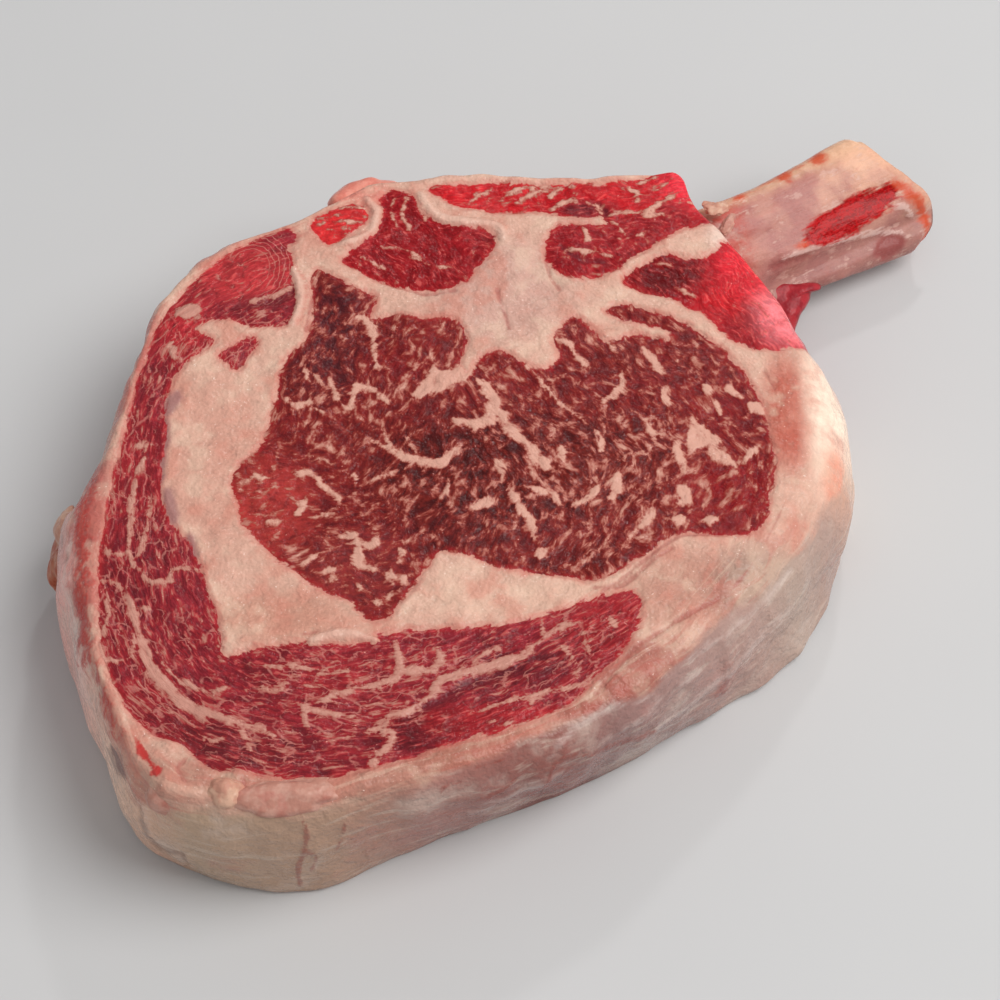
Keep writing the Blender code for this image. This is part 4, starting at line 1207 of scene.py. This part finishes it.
def rib_place(share, turn):
    """A point of the rib: how far along, across and out it lies."""
    nominal = -RIB_INSIDE + share * (RIB_INSIDE + RIB_OUTSIDE)
    neck = 1.0 - RIB_NECK[0] * math.exp(-((nominal - RIB_NECK[1]) / RIB_NECK[2]) ** 2)
    flare = 1.0 + RIB_FLARE[0] * float(smooth_step((nominal - RIB_FLARE[1]) / RIB_FLARE[2]))
    tip = 1.0 - RIB_TIP[0] * float(smooth_step((nominal - RIB_OUTSIDE + RIB_TIP[1]) / RIB_TIP[1]))
    into_root = max(0.0, 1.0 - share * 7.0)
    size = flare * tip * (0.45 + 0.55 * math.sqrt(1.0 - into_root ** 2))
    half_width, half_depth = 0.5 * RIB_WIDTH * neck * size, 0.5 * RIB_DEPTH * size
    across = half_width * math.copysign(abs(math.cos(turn)) ** 0.9, math.cos(turn))
    rise = half_depth * math.copysign(abs(math.sin(turn)) ** 0.8, math.sin(turn))
    if rise > 0:
        shaped = float(smooth_step(nominal / 12.0))
        rise -= GROOVE_DEPTH * shaped * math.exp(-((across - GROOVE_ACROSS) / GROOVE_HALF) ** 2)
        rise += 0.5 * shaped * math.exp(-((across - GROOVE_ACROSS + 6.0) / GROOVE_HALF) ** 2)
    end = RIB_FAR_END + (RIB_NEAR_END - RIB_FAR_END) * float(smooth_step((across + 16.0) / 25.0))
    end -= RIB_NEAR_ROUND * float(smooth_step((across - 8.0) / 8.0))
    blend = float(smooth_step((nominal - 20.0) / (RIB_OUTSIDE - 20.0)))
    along = nominal + (end - RIB_OUTSIDE) * blend
    return along, across, rise


def tube_faces(rings, count):
    """Faces between rings of points, and fans to the two middle points that follow them."""
    step = np.arange(count)
    after = np.roll(step, -1)
    faces = []
    for start in range(0, (rings - 1) * count, count):
        faces += zip(start + step, start + count + step, start + count + after, start + after)
    last = (rings - 1) * count
    faces += [(a, b, last + count) for a, b in zip(step, after)]
    faces += [(last + b, last + a, last + count + 1) for a, b in zip(step, after)]
    return [tuple(int(i) for i in face) for face in faces]


def build_rib():
    """The scraped rib, with its places and marks kept for the material."""
    stations, sides = 130, 130
    local = np.array([rib_place(share, turn)
                      for share in np.linspace(0.0, 1.0, stations)
                      for turn in np.linspace(0.0, 2 * math.pi, sides, endpoint=False)])
    local = np.vstack([local, local[:sides].mean(0), local[-sides:].mean(0) + (0.8, 0.0, 0.0)])
    along, across, rise = local.T
    ahead, aside, broad, face = rib_axes()
    bend = 0.0035 * np.maximum(0.0, 6.0 - along) ** 2
    points = (np.array(RIB_ROOT) + along[:, None] * ahead + bend[:, None] * aside
              + across[:, None] * broad + rise[:, None] * face)
    rib = new_piece("rib", points, tube_faces(stations, sides))
    normals = normals_of(rib.data)
    flat, top = local[:, :2], rise > 0.0
    red = np.where(top, depth_inside(flat, outlined([RIB_STRIPE], rib_spot)), -8.0)
    hollow = np.where(top, stroke_depth(flat, traced(RIB_HOLLOW, rib_spot)), -6.0)
    ledge = np.where(top, stroke_depth(flat, traced(RIB_LEDGE, rib_spot)), -6.0)
    rust = stroke_depth(flat, traced(RIB_RUST, rib_spot))
    fade = smooth_step((along + 2.0) / 8.0)
    relief = fade * (0.25 * noise(local * (0.4, 1.0, 1.0), 3.5, 21) + 0.08 * noise(local, 1.6, 22))
    relief += fade * (0.35 * smooth_step((ledge + 0.8) / 1.2)
                      - 0.5 * smooth_step((hollow + 0.5) / 1.5)
                      - 0.3 * smooth_step((red + 0.3) / 1.0))
    move_points(rib.data, points + normals * relief[:, None])
    keep(rib.data, rib=local, red=red, hollow=hollow, ledge=ledge, rust=rust)
    return rib


def rib_material():
    sh = Shader("scraped_rib")
    rib = sh.stored("rib", "Vector")
    along, across, _ = sh.split(rib)
    speck, mottle = sh.noise(0.8, 2.0, 0.6), sh.noise(3.0, 3.0, 0.6)
    cloud = sh.noise(8.0, 3.0, 0.55)
    scrape = sh.noise(1.2, 3.0, 0.62, rib, (0.2, 1.0, 1.0))
    uneven = 3.0 * mottle + 1.2 * speck
    colour = sh.mix(sh.ramp(cloud, -0.12, 0.12), linear((180, 120, 112)), linear((196, 140, 126)))
    root = sh.ramp(along + 0.25 * across + 1.6 * uneven, 9.0, 2.0)
    colour = sh.tint(root * sh.ramp(mottle, -0.14, 0.1), colour, (190, 92, 80))
    # Cream towards the tip and the upper edge: painted highlight
    cream_highlight = sh.ramp(along - 1.2 * across + 34.0 * cloud, 30.0, 58.0)
    colour = sh.tint(0.8 * cream_highlight, colour, (240, 188, 156))
    # Darker towards the lower side: painted shade; paler along the upper edge: painted highlight
    colour = sh.tint(sh.ramp(across + uneven, 4.5, 8.5, 0.0, 0.6), colour, (160, 110, 104))
    colour = sh.tint(sh.ramp(across + uneven, -11.0, -14.0, 0.0, 0.6), colour, (236, 188, 152))
    colour = sh.brighten(colour, 0.98 + 0.4 * scrape + 0.12 * speck)
    colour = sh.tint(sh.ramp(mottle + 0.6 * scrape, 0.08, 0.26, 0.0, 0.3), colour, (184, 106, 100))
    colour = sh.tint(sh.ramp(mottle + scrape, -0.1, -0.26, 0.0, 0.4), colour, (226, 186, 172))
    # Darker in the sunken hollows: painted shade
    hollow = sh.ramp(sh.stored("hollow") + uneven, -1.4, 1.0)
    colour = sh.tint(0.65 * hollow, colour, (142, 58, 58))
    # Pale along the raised ledges: painted highlight
    ledge = sh.ramp(sh.stored("ledge") + 3.0 * scrape + speck, -0.5, 0.3)
    colour = sh.tint(0.6 * ledge, colour, (232, 200, 190))
    frayed = sh.stored("red") + 5.0 * scrape + 3.0 * mottle
    red = sh.ramp(frayed, -1.3, 0.3)
    blood = sh.mix(sh.ramp(scrape + speck, -0.12, 0.12), linear((150, 0, 4)),
                   linear((186, 10, 16)))
    colour = sh.mix(red, colour, blood)
    rust = sh.ramp(sh.stored("rust") + 0.8 * uneven + 3.0 * scrape, -1.0, 1.1)
    colour = sh.tint(0.9 * rust, colour, (204, 76, 42))
    height = 0.16 * scrape + 0.06 * speck + 0.25 * mottle
    rough = 0.28 + 0.3 * scrape + 0.2 * speck
    return sh.finish(colour, rough, height, Specular_IOR_Level=0.24)


def build_lump(name, middle, half, turn, seed, rough):
    """A rounded scrap or fold of fat, uneven all over."""
    mesh = bmesh.new()
    bmesh.ops.create_icosphere(mesh, subdivisions=5, radius=1.0)
    unit = np.array([vert.co for vert in mesh.verts])
    faces = [tuple(vert.index for vert in face.verts) for face in mesh.faces]
    mesh.free()
    swell = 1.0 + rough * (1.3 * noise(unit, 0.8, seed) + 0.55 * noise(unit, 0.34, seed + 1))
    shaped = unit * swell[:, None] * half
    flat = turned(shaped[:, :2], -turn)
    return new_piece(name, np.column_stack([flat, shaped[:, 2]]) + middle, faces)


def build_flap(name, outline, foot, thick, seed):
    """A ragged flap seen face on: its outline on the photograph, rounded off to a thickness."""
    loop = closed_curve(outline, 8)
    rise = math.radians(CAMERA_RISE)
    rings = []
    shares = np.linspace(0.08, 1.0, 12).tolist()
    front, back = [(share, 1.0) for share in shares], [(share, -1.0) for share in shares[-2::-1]]
    for share, side in front + back:
        drawn = loop.mean(0) + (loop - loop.mean(0)) * share
        heights = foot + (loop[:, 1].max() - drawn[:, 1]) * PIXEL * math.cos(rise)
        ring = np.array([(*spot(x, y, z), z) for (x, y), z in zip(drawn, heights)])
        out = side * 0.5 * thick * math.sqrt(1.0 - share ** 3)
        rings.append(ring + np.array([0.0, -math.cos(rise), math.sin(rise)]) * out)
    points = np.vstack(rings + [rings[0].mean(0), rings[-1].mean(0)])
    points += 0.5 * np.column_stack([noise(points, 4.0, seed + k) for k in range(3)])
    return new_piece(name, points, tube_faces(len(rings), len(loop)))


def lump_material(name, light, dark, red):
    sh = Shader(name)
    speck, mottle = sh.noise(0.7, 2.0, 0.6), sh.noise(2.6, 2.0, 0.6)
    colour = sh.mix(sh.ramp(mottle, -0.12, 0.12), linear(light), linear(dark))
    colour = sh.brighten(colour, 1.0 + 0.25 * speck)
    colour = sh.tint(sh.ramp(sh.noise(3.4), 0.02, 0.16, 0.0, red), colour, (168, 60, 56))
    height = 0.08 * speck + 0.4 * mottle
    return sh.finish(colour, 0.32 + 0.3 * mottle, height, Specular_IOR_Level=0.26)


def dress(piece, material):
    piece.data.materials.append(material)
    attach(piece, "root")


def build_scraps():
    """The lumps, flaps and scraps that stand out of the slab and lie round the rib's root."""
    looks = {key: lump_material(*values) for key, values in LOOKS.items()}
    for name, look, x, y, height, half, turn, rough in SCRAPS:
        if height is None:
            ahead, _, broad, face = rib_axes()
            middle = np.array(RIB_ROOT) + rib_spot(x, y) @ [ahead, broad] + 0.48 * RIB_DEPTH * face
        else:
            middle = (*spot(x, y, height), height)
        dress(build_lump(name, middle, half, turn, x, rough), looks[look])
    dress(build_flap("rib_flap", RIB_FLAP, FLAP_FOOT, FLAP_THICK, 71), looks["dark"])


def build_floor():
    """A plain pale sweep that rises far behind."""
    half, bend = FLOOR_HALF, FLOOR_BEND
    profile = [(-half, 0.0), (half - bend, 0.0)]
    profile += [(half - bend + bend * math.sin(t), bend - bend * math.cos(t))
                for t in np.linspace(0.1, math.pi / 2, 14).tolist()]
    profile.append((half, FLOOR_RISE))
    points = np.array([(x, y, z) for y, z in profile for x in (-half, half)]) / MM
    faces = [(2 * i, 2 * i + 1, 2 * i + 3, 2 * i + 2) for i in range(len(profile) - 1)]
    floor = new_piece("floor", points, faces)
    sh = Shader("floor")
    shade = FLOOR_SHADE + 0.02 * sh.noise(60.0, 2.0)
    sh.feed(sh.surface.inputs["Base Color"],
            sh.brighten(sh.out(sh.add("CombineXYZ", X=1.0, Y=1.0, Z=1.005)), shade))
    sh.feed(sh.surface.inputs["Roughness"], 0.6)
    floor.data.materials.append(sh.material)


def build_light(name, place, size, power, tone):
    light = bpy.data.lights.new(name, "AREA")
    light.shape, light.size, light.energy, light.color = "DISK", size, power, tone
    obj = bpy.data.objects.new(name, light)
    obj.location = place
    obj.rotation_euler = (-Vector(place)).to_track_quat("-Z", "Y").to_euler()
    bpy.context.collection.objects.link(obj)


def build_camera():
    data = bpy.data.cameras.new("camera")
    data.lens, data.sensor_width = LENS, SENSOR
    camera = bpy.data.objects.new("camera", data)
    camera.location = placed(camera_place())
    camera.rotation_euler = (math.radians(90.0 - CAMERA_RISE), 0.0, 0.0)
    bpy.context.collection.objects.link(camera)
    bpy.context.scene.camera = camera


def build_world():
    world = bpy.data.worlds.new("soft_room")
    world.use_nodes = True
    background = world.node_tree.nodes["Background"]
    background.inputs["Color"].default_value = (1.0, 1.0, 1.0, 1.0)
    background.inputs["Strength"].default_value = ROOM_LIGHT
    bpy.context.scene.world = world


def main():
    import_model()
    bpy.context.scene.view_settings.view_transform = "Standard"
    build_world()
    build_camera()
    build_floor()
    for light in LIGHTS:
        build_light(*light)

    meat = build_meat()
    dress(meat, steak_material())
    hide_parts("fat_body", "eye_muscle", "cap_muscle", "upper_left_muscle",
                "corner_muscle", "strip_muscle", "rib_side_muscle", "side_muscle")
    rib = build_rib()
    dress(rib, rib_material())
    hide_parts("rib_bone")
    build_scraps()


main()
